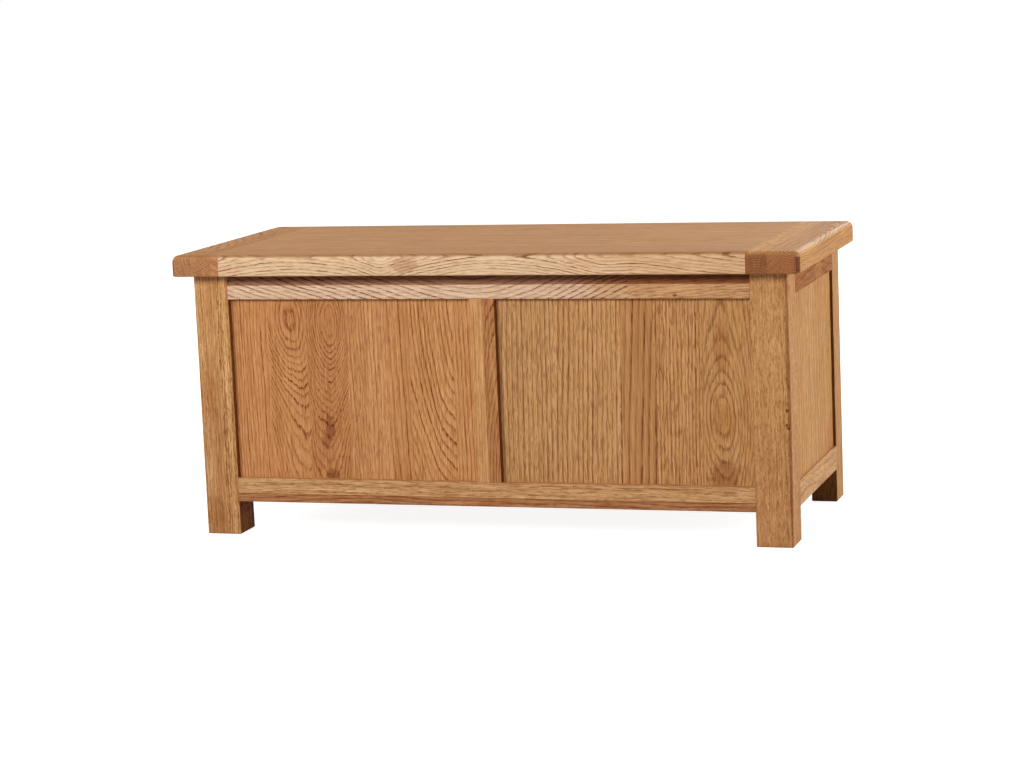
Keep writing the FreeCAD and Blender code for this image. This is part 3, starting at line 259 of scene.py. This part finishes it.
OAK = oak_group()
LENGTHS, SLOPES, RING_WIDTHS = 4000.0, 4.0, 40.0    # the spans that a ramp's colours hold
SHEEN = 0.07
PORE_DEPTH, PORE_BUMP = 0.0006, 0.25                # in metres, and its strength
END_TONE = (0.78, 0.66, 0.56)      # end grain drinks the finish
CORNER_GRAIN_AND_SHADE_TONE = (0.4, 0.28, 0.33)    # and at a rounded upright corner, where painted shade on the rounding darkens it further
WORN_TONE = (0.62, 0.5, 0.42)
WORN_STRENGTH = 0.3
ARRIS = (3.2, 0.8)                 # where wear begins and where it is full, in millimetres
KNOT = (0.4, 0.26, 0.2)


def material(name):
    made = bpy.data.materials.new(name)
    made.use_nodes = True
    made.node_tree.nodes.clear()
    return made, Graph(made.node_tree)


def dress(made, *names):
    for name in names:
        for slot in NODES[name].material_slots:
            slot.material = made


def unit(axis):
    return tuple(float(index == AXIS[axis]) for index in range(3))


def board(heart=(0, 60), peak=-900, tilt=0.02, lean=0.0, ring=6.5, tone=(1, 1, 1), lines=0.8, pores=0.7,
          reach=130, to=None):
    """One board of a glued-up node. to is where it ends, and heart and peak are places in the frame."""
    return {"heart": heart, "peak": peak, "tilt": tilt, "lean": lean, "ring": ring, "tone": tone,
            "lines": lines, "pores": pores, "reach": reach, "to": to}


def stain_and_painted_light(facing, tone, strength=1.0, y=(None, None), z=(None, None), blend="MULTIPLY"):
    """Finish that has gathered on the faces that look one way, and painted shade and light on some of them,
    from the first to the second place on an axis, in millimetres. MULTIPLY tints the wood and MIX covers it,
    for a plainer face."""
    return {"facing": facing, "tone": tone, "strength": strength, "y": y, "z": z, "blend": blend}


def mark(middle, size, tone):
    """A patch of stain or figure, and in a few places of painted shade and light: an uneven ellipsoid, in the
    frame's millimetres.
    """
    return {"middle": middle, "size": size, "tone": tone}


def board_values(g, boards, part, low, high, middle):
    """The Heart, Shape and Looks of the board that a place lies in, and its tone."""
    share = g.node("ShaderNodeMapRange", {"Value": part, "From Min": low, "From Max": high})
    starts = [0.0] + [(each["to"] - low) / (high - low) for each in boards[:-1]]

    def held(rows, zero, span):
        """A ramp's colours hold 0 to 1, so each number goes in as zero + number / span."""
        colours = [tuple(z + v / s for v, z, s in zip(row, zero, span)) for row in rows]
        ramp = g.ramp(share, list(zip(starts, colours)), "CONSTANT")
        return g.vector("MULTIPLY", g.vector("SUBTRACT", ramp, zero), span)

    hearts = [(*each["heart"], each["peak"] - middle) for each in boards]
    shapes = [(each["tilt"], each["ring"], each["lean"]) for each in boards]
    looks = [(each["lines"], each["pores"], each["reach"]) for each in boards]
    return (held(hearts, (0.5, 0.5, 0.5), (LENGTHS, LENGTHS, LENGTHS)),
            held(shapes, (0.5, 0, 0.5), (SLOPES, RING_WIDTHS, SLOPES)),
            held(looks, (0, 0, 0), (1, 1, LENGTHS)),
            held([each["tone"] for each in boards], (0, 0, 0), (2, 2, 2)))


def bending(g, along, bends):
    """The rings' shift from the places where the grain changes direction."""
    bend = 0.0
    for where, soft, change in bends:
        past = g.math("SUBTRACT", along, where)
        smooth = g.math("SQRT", g.math("MULTIPLY_ADD", past, past, soft * soft))
        bend = g.math("MULTIPLY_ADD", g.math("ADD", past, smooth), change / 2, bend)
    return bend


def rounded_corner(g, end_facing, face_facing):
    """1 on an upright corner's rounding, between an end and a side."""
    past_side = g.step(end_facing, 0.12, 0.4)
    before_end = g.math("SUBTRACT", 1.0, g.step(end_facing, 0.78, 0.998))
    return g.times(past_side, before_end, g.step(face_facing, 0.4, 0.15))


def worn_arris(g, spot, parts, low, high):
    """1 where the second smallest distance to the sides of the node's box is small, in places."""
    near = [g.math("MINIMUM", g.math("SUBTRACT", parts[i], low[i]), g.math("SUBTRACT", high[i], parts[i]))
            for i in range(3)]
    second = g.math("MAXIMUM", g.math("MINIMUM", near[0], near[1]),
                    g.math("MINIMUM", g.math("MAXIMUM", near[0], near[1]), near[2]))
    return g.times(g.step(second, *ARRIS), g.step(g.noise(g.scaled(spot, 0.05), 2.0), 0.3, 0.65))


def stain_and_painted_light_amount(g, each, normal, parts):
    amount = g.step(g.dot(normal, each["facing"]), 0.5, 0.9)
    for axis in ("y", "z"):
        for operation, limit in zip(("GREATER_THAN", "LESS_THAN"), each[axis]):
            if limit is not None:
                amount = g.times(amount, g.math(operation, parts[AXIS[axis]], limit))
    return g.times(amount, each["strength"])


def mark_amount(g, each, spot):
    apart = g.length(g.vector("DIVIDE", g.vector("SUBTRACT", spot, each["middle"]), each["size"]))
    uneven = g.noise(g.vector("DIVIDE", spot, [v / 3 for v in each["size"]]), 3.0)
    return g.step(g.math("ADD", apart, g.math("MULTIPLY_ADD", uneven, 1.3, -0.65)), 1.05, 0.6)


def oak(name, grain, face, boards, split=None, light=(205, 160, 112), dark=(134, 70, 28), wave=14.0,
        stretch=1.0, fibre=1.0, bends=(), stains_and_painted_light=(), marks=()):
    """Gives a node its oak. grain is the axis it runs along and face the one that its show face looks
    along, with its sign; split is the axis its boards lie side by side on. bends are the places along
    the grain where it changes direction, how softly it does and by how much."""
    made, g = material(f"oak_{name}")
    low, high = (Vector(corner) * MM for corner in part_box(name))
    along, depth = AXIS[grain], AXIS[face[1]]
    across = 3 - along - depth
    middle = (low[along] + high[along]) / 2
    outward, surface = (-1.0, low[depth]) if face[0] == "-" else (1.0, high[depth])
    texture = g.node("ShaderNodeTexCoord", out=None).outputs
    normal = texture["Normal"]
    spot = g.scaled(texture["Object"], MM)
    parts = g.split(spot)
    place = g.join(g.math("SUBTRACT", parts[along], middle), parts[across],
                   g.math("MULTIPLY_ADD", parts[depth], -outward, outward * surface))
    ways = AXIS[split] if split else across
    heart, shape, looks, tones = board_values(g, boards, parts[ways], low[ways], high[ways], middle)
    end_facing = g.math("ABSOLUTE", g.dot(normal, unit(grain)))
    face_facing = g.math("ABSOLUTE", g.dot(normal, unit(face[1])))
    end = g.step(end_facing, 0.7, 0.9)
    wood = g.node("ShaderNodeGroup", out=None, node_tree=OAK)
    values = {"Place": place, "Heart": heart, "Shape": shape, "Looks": looks,
              "Bend": bending(g, parts[along], bends), "Wave": wave, "Stretch": stretch, "Fibre": fibre,
              "End": end, "Light": colour(*light), "Dark": colour(*dark)}
    for key, value in values.items():
        g.put(wood.inputs[key], value)

    shade = g.mix(1.0, wood.outputs["Color"], tones, "MULTIPLY")
    shade = g.mix(end, shade, END_TONE, "MULTIPLY")
    # the rounded upright corner: end grain, with painted shade on the rounding
    shade = g.mix(rounded_corner(g, end_facing, face_facing), shade, CORNER_GRAIN_AND_SHADE_TONE, "MULTIPLY")
    worn = g.times(worn_arris(g, spot, parts, low, high), WORN_STRENGTH)
    shade = g.mix(worn, shade, WORN_TONE, "MULTIPLY")
    # stains, and painted shade and light on the faces that look one way
    for each in stains_and_painted_light:
        shade = g.mix(stain_and_painted_light_amount(g, each, normal, parts), shade, each["tone"], each["blend"])
    # patches of the wood's own tone, figure and knots, and a few painted patches of shade and light
    for each in marks:
        shade = g.mix(mark_amount(g, each, spot), shade, each["tone"], "MULTIPLY")
    relief = {"Height": wood.outputs["Height"], "Strength": PORE_BUMP, "Distance": PORE_DEPTH}
    shader = g.node("ShaderNodeBsdfPrincipled", {
        "Base Color": shade, "Roughness": wood.outputs["Roughness"], "Normal": g.node("ShaderNodeBump", relief),
    }, out=None)
    shader.inputs["Specular IOR Level"].default_value = SHEEN
    g.node("ShaderNodeOutputMaterial", {"Surface": shader.outputs[0]}, out=None)
    dress(made, name)


# The front

oak("front_panel_left", "z", "-y", [
    board(to=-377, heart=(-330, 60), ring=4.4, tone=(1.02, 0.95, 0.89), lines=1.0, pores=0.5),
    board(to=-312, heart=(-329, 26), peak=362, tilt=0.44, lean=0.075, ring=3.3, tone=(0.96, 0.89, 0.81),
          lines=1.0, pores=0.5),
    board(to=-240, heart=(-274, 26), peak=357, tilt=0.4, lean=-0.02, ring=2.3, tone=(0.88, 0.79, 0.71),
          lines=1.0, pores=0.5),
    board(to=-205, heart=(-340, 60), ring=5.0, lean=0.03, tone=(0.98, 0.95, 0.92), lines=0.7),
    board(to=-171, heart=(-330, 60), ring=6.0, tone=(1.05, 1.05, 1.05), lines=0.7),
    board(to=-132, heart=(-20, 70), ring=7.5, lean=0.03, tone=(0.965, 0.91, 0.85), lines=1.0, pores=0.5),
    board(to=-57, heart=(-26, 35), peak=400, tilt=0.5, ring=6.2, reach=400, tone=(1.035, 1.02, 0.97),
          lines=1.0, pores=0.6),
    board(heart=(-230, 60), ring=6.6, lean=0.02, tone=(1.02, 1.0, 0.96), lines=0.9, pores=0.5),
], split="x", light=(202, 147, 96), dark=(116, 50, 16), wave=11.0, stretch=1.1, fibre=0.75, marks=[
    mark((-275, PANEL_FRONT, 182), (10, 12, 27), (0.62, 0.5, 0.52)),
    mark((-283, PANEL_FRONT, 158), (10, 12, 14), (0.7, 0.6, 0.6)),
    mark((-275, PANEL_FRONT, 101), (14, 12, 14), (0.66, 0.55, 0.56)),
])
oak("front_panel_right", "z", "-y", [
    board(to=112, heart=(-120, 60), ring=7.6, lean=-0.02, tone=(0.98, 1.0, 0.98), lines=0.9, pores=0.8),
    board(to=224, heart=(-90, 90), ring=7.6, lean=-0.03, tone=(1.03, 1.04, 1.02), lines=1.0, pores=0.8),
    board(to=279, heart=(420, 60), ring=10.0, lean=-0.05, tone=(0.86, 0.78, 0.7), lines=1.0, pores=0.3),
    board(to=359, heart=(560, 90), ring=5.4, lean=-0.02, tone=(1.03, 0.99, 0.94), lines=1.0, pores=0.9),
    board(heart=(388, 20), peak=205, tilt=0.36, ring=4.6, tone=(0.96, 0.93, 0.85), lines=0.75, reach=100),
], split="x", light=(202, 150, 98), dark=(104, 48, 18), wave=8.0, stretch=1.3, fibre=0.6, marks=[
    mark((391, PANEL_FRONT, 322), (15, 12, 56), (0.86, 0.78, 0.70)),
    mark((390, PANEL_FRONT, 196), (22, 12, 34), (0.88, 0.80, 0.72)),
    mark((392, PANEL_FRONT, 112), (30, 12, 26), (0.74, 0.62, 0.56)),
])
oak("front_muntin", "z", "-y", [
    board(to=0.5, heart=(-120, 80), ring=7.0, tone=(1.05, 1.07, 1.08), lines=0.25, pores=0.5),
    board(heart=(38, 12), peak=90, tilt=0.34, ring=4.2, reach=260, tone=(0.85, 0.76, 0.75), lines=1.0,
          pores=0.4),
], split="x", light=(198, 145, 93), stains_and_painted_light=[
    # painted shade on the step beside the right panel, where the groove's shadow falls
    stain_and_painted_light(RIGHT, (0.55, 0.38, 0.14), 0.9, z=(BOTTOM_RAIL_TOP, None)),
])
oak("front_top_rail", "x", "-y", [
    board(to=240, heart=(900, 30), ring=7.6, lean=0.32, tone=(1.03, 1.06, 1.07), lines=1.0, pores=0.4),
    board(heart=(900, 30), ring=4.6, lean=0.32, tone=(1.02, 0.98, 0.92), lines=0.45, pores=0.7),
], split="x", light=(219, 182, 148), dark=(114, 56, 40), wave=11.0, fibre=0.5, bends=[
    (-10, 60, -0.62), (240, 20, 0.3),
], stains_and_painted_light=[
    # painted shade on the finger bevel, under the lid's overhang
    stain_and_painted_light(BEVEL, (0.48, 0.305, 0.26), 0.85, z=(BEVEL_LOW, None)),
], marks=[
    mark((425, CASE_FRONT, 405), (270, 60, 80), (0.865, 0.745, 0.57)),
    mark((320, CASE_FRONT, 401), (4, 6, 2.5), KNOT),
])
oak("front_bottom_rail", "x", "-y", [
    board(to=71, heart=(40, 20), peak=-200, tilt=0.1, ring=4.6, tone=(0.75, 0.63, 0.62), lines=1.0),
    board(heart=(110, 60), ring=6.0, tone=(1.08, 1.17, 1.24), lines=0.8, pores=0.9),
], split="z", light=(198, 148, 98))
oak("post_front_left", "z", "-y", [
    board(to=-485, heart=(-580, 10), ring=5.0, lean=0.02, tone=(0.95, 0.93, 0.86), lines=0.8, pores=0.7),
    board(to=-462, heart=(-550, -50), ring=5.0, lean=0.03, tone=(0.87, 0.8, 0.72), lines=0.5, pores=0.5),
    board(to=-453, heart=(-480, 10), ring=4.0, tone=(0.94, 0.92, 0.84), lines=1.0, pores=1.0),
    board(heart=(-490, 20), ring=10.0, tone=(1.0, 1.0, 0.93), lines=0.7, pores=0.9),
], split="x", light=(209, 160, 108), wave=8.0, stretch=0.7, stains_and_painted_light=[
    # painted shade on the step beside the panel, then on the leg's inner side under the chest, painted less
    # deep towards the floor and deeper at its back
    stain_and_painted_light(RIGHT, (0.6, 0.42, 0.22), y=(-199, None), z=(BOTTOM_RAIL_TOP, TOP_RAIL_LOW)),
    stain_and_painted_light(RIGHT, (0.43, 0.19, 0.045), z=(None, BOTTOM_RAIL_LOW)),
    stain_and_painted_light(RIGHT, (1.34, 1.6, 1.45), z=(None, 44)),
    stain_and_painted_light(RIGHT, (1.34, 1.6, 1.45), z=(None, 32)),
    stain_and_painted_light(RIGHT, (0.5, 0.4, 0.35), y=(-152, None), z=(None, BOTTOM_RAIL_LOW)),
], marks=[
    mark((-488, CASE_FRONT, 235), (24, 20, 46), (0.86, 0.76, 0.72)),
    mark((-486, CASE_FRONT, 20), (24, 40, 60), (0.86, 0.78, 0.72)),
    mark((-470, -170, 60), (90, 90, 200), (0.91, 0.88, 0.89)),
])
oak("post_front_right", "z", "-y", [
    board(heart=(-400, 30), ring=7.0, lean=0.01, tone=(0.95, 0.93, 0.86), lines=0.35, pores=0.7),
], light=(202, 150, 99), wave=5.0, stretch=0.5, fibre=0.9, stains_and_painted_light=[
    # the post's right side painted lighter and warmer, against the lamps' pale reflection there
    stain_and_painted_light(RIGHT, (1.06, 1.05, 1.0)),
], marks=[
    mark((494.3, CASE_FRONT, 219), (3.2, 5, 3.4), KNOT),
    mark((493.4, CASE_FRONT, 196), (3.0, 5, 3.0), KNOT),
    mark((496.0, CASE_FRONT, 191), (2.6, 5, 3.0), KNOT),
    # a dark strip on the rounded front-right arris: painted shade, with some stain
    mark((498, CASE_FRONT, 250), (3.4, 8, 300), (0.66, 0.54, 0.5)),
    mark((470, -170, 60), (90, 90, 200), (0.95, 0.92, 0.93)),
])

# The sides and the back

for side, face, sign in (("left", "-x", -1), ("right", "+x", 1)):
    oak(f"post_back_{side}", "z", face, [
        board(heart=(120, 60), ring=8.0, tone=(1.0, 0.98, 0.92), lines=0.4),
    ], light=(197, 148, 95), wave=6.0, stains_and_painted_light=[
        # painted shade on the step in the side recess and on the leg's front face under the chest
        stain_and_painted_light(FRONT, (0.38, 0.26, 0.18), z=(BOTTOM_RAIL_TOP, None)),
        stain_and_painted_light(FRONT, (0.6, 0.48, 0.43), z=(None, BOTTOM_RAIL_LOW)),
    ])
    oak(f"side_panel_{side}", "z", face, [
        board(to=-60, heart=(-320, 80), ring=16.0, tone=(1.02, 1.01, 1.0), lines=0.45),
        board(to=40, heart=(280, 80), ring=16.0, lines=0.4),
        board(heart=(-200, 80), ring=16.0, tone=(0.97, 0.95, 0.92), lines=0.45),
    ], split="y", light=(206, 154, 93), wave=8.0, marks=[
        mark((sign * 490, 140, 120), (30, 50, 45), (0.92, 0.8, 0.72)),
    ])
    oak(f"side_top_rail_{side}", "y", face, [
        board(to=23, heart=(440, 20), peak=-200, tilt=0.2, ring=7.0, tone=(0.92, 0.825, 0.62)),
        board(to=74, heart=(380, 40), ring=7.0, tone=(1.03, 0.985, 0.87), lines=0.4),
        board(heart=(430, 30), peak=200, tilt=0.2, ring=7.0, tone=(0.9, 0.805, 0.6)),
    ], split="y", light=(176, 115, 61), dark=(124, 66, 22))
    oak(f"side_bottom_rail_{side}", "y", face, [
        board(heart=(60, 20), peak=-100, tilt=0.1, ring=8.0, lines=0.5),
    ], light=(211, 164, 111), fibre=0.7)
for side, first, second, heart in (("left", -300, -160, -230), ("right", 160, 310, 235)):
    oak(f"back_panel_{side}", "z", "+y", [
        board(to=first, heart=(-420, 60), ring=7.0, tone=(1.0, 0.98, 0.96)),
        board(to=second, heart=(heart, 14), peak=300, tilt=0.2, ring=5.0, tone=(1.02, 1.01, 1.0)),
        board(heart=(30, 60), ring=7.0, tone=(0.97, 0.95, 0.93)),
    ], split="x", light=(198, 145, 94))
oak("back_muntin", "z", "+y", [board(heart=(60, 40), ring=7.0)], light=(198, 146, 96))
oak("back_top_rail", "x", "+y", [
    board(heart=(450, 20), peak=-80, tilt=0.1, ring=7.0),
], light=(202, 152, 104))
oak("back_bottom_rail", "x", "+y", [
    board(heart=(40, 30), peak=120, tilt=0.06, ring=6.0),
], light=(198, 146, 98))

# The lid

# the front board's top and underside are darker and plainer than its edge
BOARD_1_STAINS = [layer for way in (UP, DOWN) for layer in (
    stain_and_painted_light(way, (0.5, 0.355, 0.215)), stain_and_painted_light(way, colour(164, 118, 72), 0.35, blend="MIX"))]
oak("lid_board_1", "x", "+z", [
    board(heart=(-520, -290), ring=3.9, tone=(1.055, 1.075, 1.105), lines=1.0, pores=0.4),
], light=(222, 186, 147), dark=(120, 62, 34), wave=8.0, fibre=0.35, bends=[
    (-600, 30, 0.135), (-350, 60, -0.2), (-195, 20, -0.185), (-160, 10, 0.5), (-110, 50, -0.15),
    (20, 90, -0.175), (120, 40, -0.1), (212, 15, 0.225), (262, 30, -0.125),
], stains_and_painted_light=BOARD_1_STAINS, marks=[
    mark((-118, LID_FRONT, LID_EDGE_MIDDLE), (27, 20, 16), (0.8, 0.72, 0.68)),
    mark((400, LID_FRONT, LID_EDGE_MIDDLE), (230, 40, 60), (0.93, 0.86, 0.77)),
])
for number, heart in ((2, -60), (3, 60), (4, -90), (5, 150)):
    oak(f"lid_board_{number}", "x", "+z", [
        board(heart=(heart, 50), peak=-120 + 90 * number, tilt=0.1, ring=6.0, lines=0.45, pores=0.6,
              reach=300),
    ], light=(169, 123, 76), dark=(118, 72, 38), stretch=2.0, fibre=0.8, marks=[
        # a painted warm tint on the top's right part, against the pale reflection of the lamps there
        mark((390, 0, LID_TOP), (260, 400, 60), (1.02, 0.985, 0.82)),
    ])
# Each stave of the caps: its heart, the strength of its lines, its tone and that of its front end
CAPS = {
    "left_outer": ((-500, 60), 0.85, (0.75, 0.73, 0.69), (1.31, 1.49, 2.28)),
    "left_middle": ((-520, -60), 0.85, (0.73, 0.71, 0.67), (1.31, 1.49, 2.28)),
    "left_inner": ((-400, 50), 0.35, (0.79, 0.78, 0.74), (1.37, 1.54, 2.23)),
    "right_inner": ((440, 50), 0.35, (0.87, 0.87, 0.74), (0.755, 0.68, 0.99)),
    "right_outer": ((500, -40), 0.85, (0.77, 0.76, 0.645), (1.06, 1.01, 1.45)),
}
for name, (heart, lines, tone, front_tone) in CAPS.items():
    oak(f"lid_cap_{name}", "y", "+z", [
        board(heart=heart, ring=3.8, tone=tone, lines=lines, pores=0.4),
    ], light=(195, 141, 87), dark=(112, 54, 20), wave=5.0, stretch=3.0, fibre=0.8, bends=[
        (-300, 20, -0.24), (-165, 30, 0.33), (150, 60, -0.06),
    ], stains_and_painted_light=[
        stain_and_painted_light(FRONT, front_tone), stain_and_painted_light(UP, (0.97, 0.96, 0.9)),
        stain_and_painted_light(RIGHT, (1.5, 1.55, 1.74)), stain_and_painted_light(LEFT, (1.47, 1.52, 1.56)),
    ])

# Inside

for number in range(1, 5):
    oak(f"floor_board_{number}", "x", "+z", [
        board(heart=(-220 + 95 * number, 30), peak=150 * number - 400, tilt=0.06, ring=7.0),
    ], light=(214, 170, 124))
for side, grain in (("front", "x"), ("back", "x"), ("left", "y"), ("right", "y")):
    oak(f"ledger_{side}", grain, "+z", [board()], light=(210, 166, 120))


# Metal

METAL_DEPTH, METAL_BUMP = 0.0005, 0.05
WEAR_SCALE = 0.08


def metal(name, base, roughness, stretch=(1.0, 1.0, 1.0), metallic=1.0):
    """stretch is how fine the brushing is along each axis."""
    made, g = material(name)
    spot = g.scaled(g.node("ShaderNodeTexCoord", out="Object"), MM)
    brushed = g.noise(g.vector("MULTIPLY", spot, stretch), 3.0, 0.6)
    worn = g.noise(g.scaled(spot, WEAR_SCALE), 3.0, 0.6)
    tone = g.times(g.spread(brushed, 0.85, 1.12), g.spread(worn, 0.85, 1.1))
    relief = {"Height": brushed, "Strength": METAL_BUMP, "Distance": METAL_DEPTH}
    shader = g.node("ShaderNodeBsdfPrincipled", {
        "Base Color": g.mix(1.0, colour(*base), tone, "MULTIPLY"),
        "Roughness": g.times(g.spread(brushed, 0.8, 1.3), roughness),
        "Normal": g.node("ShaderNodeBump", relief),
    }, out=None)
    shader.inputs["Metallic"].default_value = metallic
    g.node("ShaderNodeOutputMaterial", {"Surface": shader.outputs[0]}, out=None)
    return made


HINGE = metal("hinge_steel", (176, 170, 160), 0.34, (0.4, 6.0, 6.0))
BRACKET = metal("bracket_black", (30, 30, 31), 0.42, metallic=0.0)
TUBE = metal("tube_black", (22, 22, 23), 0.3, metallic=0.0)
ROD = metal("rod_chrome", (205, 205, 208), 0.08, (6.0, 6.0, 0.5))
SCREW = metal("screw_zinc", (180, 178, 172), 0.3, (3.0, 3.0, 3.0))
for side in ("left", "right"):
    dress(HINGE, f"hinge_case_leaf_{side}", f"hinge_lid_leaf_{side}", f"hinge_pin_{side}")
    dress(BRACKET, f"strut_case_bracket_{side}", f"strut_lid_bracket_{side}")
    dress(TUBE, f"strut_cylinder_{side}", f"strut_case_eye_{side}", f"strut_rod_eye_{side}")
    dress(ROD, f"strut_rod_{side}")
dress(SCREW, "case_hardware_screws", "lid_hardware_screws", "ledger_screws")


# The studio, in metres, degrees and watts

FLOOR_REACH = 12.0
FLOOR_DROP = 0.0005              # keeps the floor clear of the feet
FLOOR_PALE = (0.44, 0.48)
FLOOR_GLOW, BACKDROP_GLOW = 0.9, 1.01    # as the camera sees the floor, near the chest and far from it
GLOW_CHANGES = (1.0, 2.4)
WORLD_STRENGTH = 0.12
LAMP_TARGET = Vector((0.0, 0.0, 0.25))
LAMPS = (    # name, azimuth from the front to the right, height, distance, size, power
    ("key", -14, 24, 4.6, (2.6, 1.2), 155),
    ("right", 100, 14, 4.2, (1.4, 1.2), 88),
    ("left", -95, 18, 4.2, (1.4, 1.2), 75),
    ("back", 175, 52, 4.2, (2.4, 1.4), 40),
    ("top", 0, 84, 3.6, (2.6, 2.0), 30),
    ("rim", 170, 18, 4.2, (0.9, 0.35), 55),
)
CAMERA_PLACE = (1.38038, -4.38789, 0.94547)
CAMERA_TURNS = (17.674, 8.8875, -2.3867)    # yaw, pitch and roll
FOCAL_LENGTH, IMAGE_WIDTH = 2768.0, 1024    # in pixels
SENSOR_WIDTH = 36.0


def seen_directly(g):
    rays = g.node("ShaderNodeLightPath", out=None).outputs
    mirrored = g.math("MAXIMUM", rays["Is Glossy Ray"], rays["Is Transmission Ray"])
    return g.math("MAXIMUM", rays["Is Camera Ray"], mirrored)


def make_floor():
    mesh = bpy.data.meshes.new("floor")
    corners = [(x * FLOOR_REACH, y * FLOOR_REACH, -FLOOR_DROP) for x, y in ((-1, -1), (1, -1), (1, 1), (-1, 1))]
    mesh.from_pydata(corners, [], [(0, 1, 2, 3)])
    floor = bpy.data.objects.new("floor", mesh)
    bpy.context.scene.collection.objects.link(floor)
    made, g = material("floor_pale")
    spot = g.node("ShaderNodeTexCoord", out="Object")
    pale = g.spread(g.noise(g.scaled(spot, 3.0), 2.0), *FLOOR_PALE)
    diffuse = g.node("ShaderNodeBsdfDiffuse", {"Color": g.join(pale, pale, pale)})
    glow = g.math("MULTIPLY_ADD", g.step(g.length(spot), *GLOW_CHANGES), BACKDROP_GLOW - FLOOR_GLOW, FLOOR_GLOW)
    glow = g.node("ShaderNodeEmission", {"Strength": g.times(seen_directly(g), glow)})
    surface = g.node("ShaderNodeAddShader", {0: diffuse, 1: glow})
    g.node("ShaderNodeOutputMaterial", {"Surface": surface}, out=None)
    mesh.materials.append(made)


def make_world():
    world = bpy.data.worlds.new("studio")
    bpy.context.scene.world = world
    world.use_nodes = True
    world.node_tree.nodes.clear()
    g = Graph(world.node_tree)
    strength = g.raised(seen_directly(g), WORLD_STRENGTH)
    backdrop = g.node("ShaderNodeBackground", {"Color": (1, 1, 1), "Strength": strength})
    g.node("ShaderNodeOutputWorld", {"Surface": backdrop}, out=None)


def make_lamp(name, azimuth, height, distance, size, power):
    """A soft box that faces the chest's middle."""
    turn, lift = math.radians(azimuth), math.radians(height)
    away = Vector((math.sin(turn) * math.cos(lift), -math.cos(turn) * math.cos(lift), math.sin(lift)))
    data = bpy.data.lights.new(name, "AREA")
    data.shape = "RECTANGLE"
    data.size, data.size_y = size
    data.energy = power
    lamp = bpy.data.objects.new(name, data)
    lamp.location = LAMP_TARGET + away * distance
    lamp.rotation_euler = away.to_track_quat("Z", "Y").to_euler()
    bpy.context.scene.collection.objects.link(lamp)


def make_camera():
    """The photograph's camera, as it was fitted to the chest's corners."""
    yaw, pitch, roll = (math.radians(v) for v in CAMERA_TURNS)
    forward = Vector((-math.sin(yaw) * math.cos(pitch), math.cos(yaw) * math.cos(pitch), -math.sin(pitch)))
    level = Vector((math.cos(yaw), math.sin(yaw), 0.0))
    above = level.cross(forward)
    right = level * math.cos(roll) + above * math.sin(roll)
    up = above * math.cos(roll) - level * math.sin(roll)
    data = bpy.data.cameras.new("camera")
    data.sensor_width = SENSOR_WIDTH
    data.lens = FOCAL_LENGTH / IMAGE_WIDTH * SENSOR_WIDTH
    camera = bpy.data.objects.new("camera", data)
    turn = Matrix((right, up, -forward)).transposed().to_4x4()
    camera.matrix_world = Matrix.Translation(CAMERA_PLACE) @ turn
    bpy.context.scene.collection.objects.link(camera)
    bpy.context.scene.camera = camera


make_floor()
make_world()
for lamp in LAMPS:
    make_lamp(*lamp)
make_camera()
bpy.context.scene.view_settings.view_transform = "Standard"
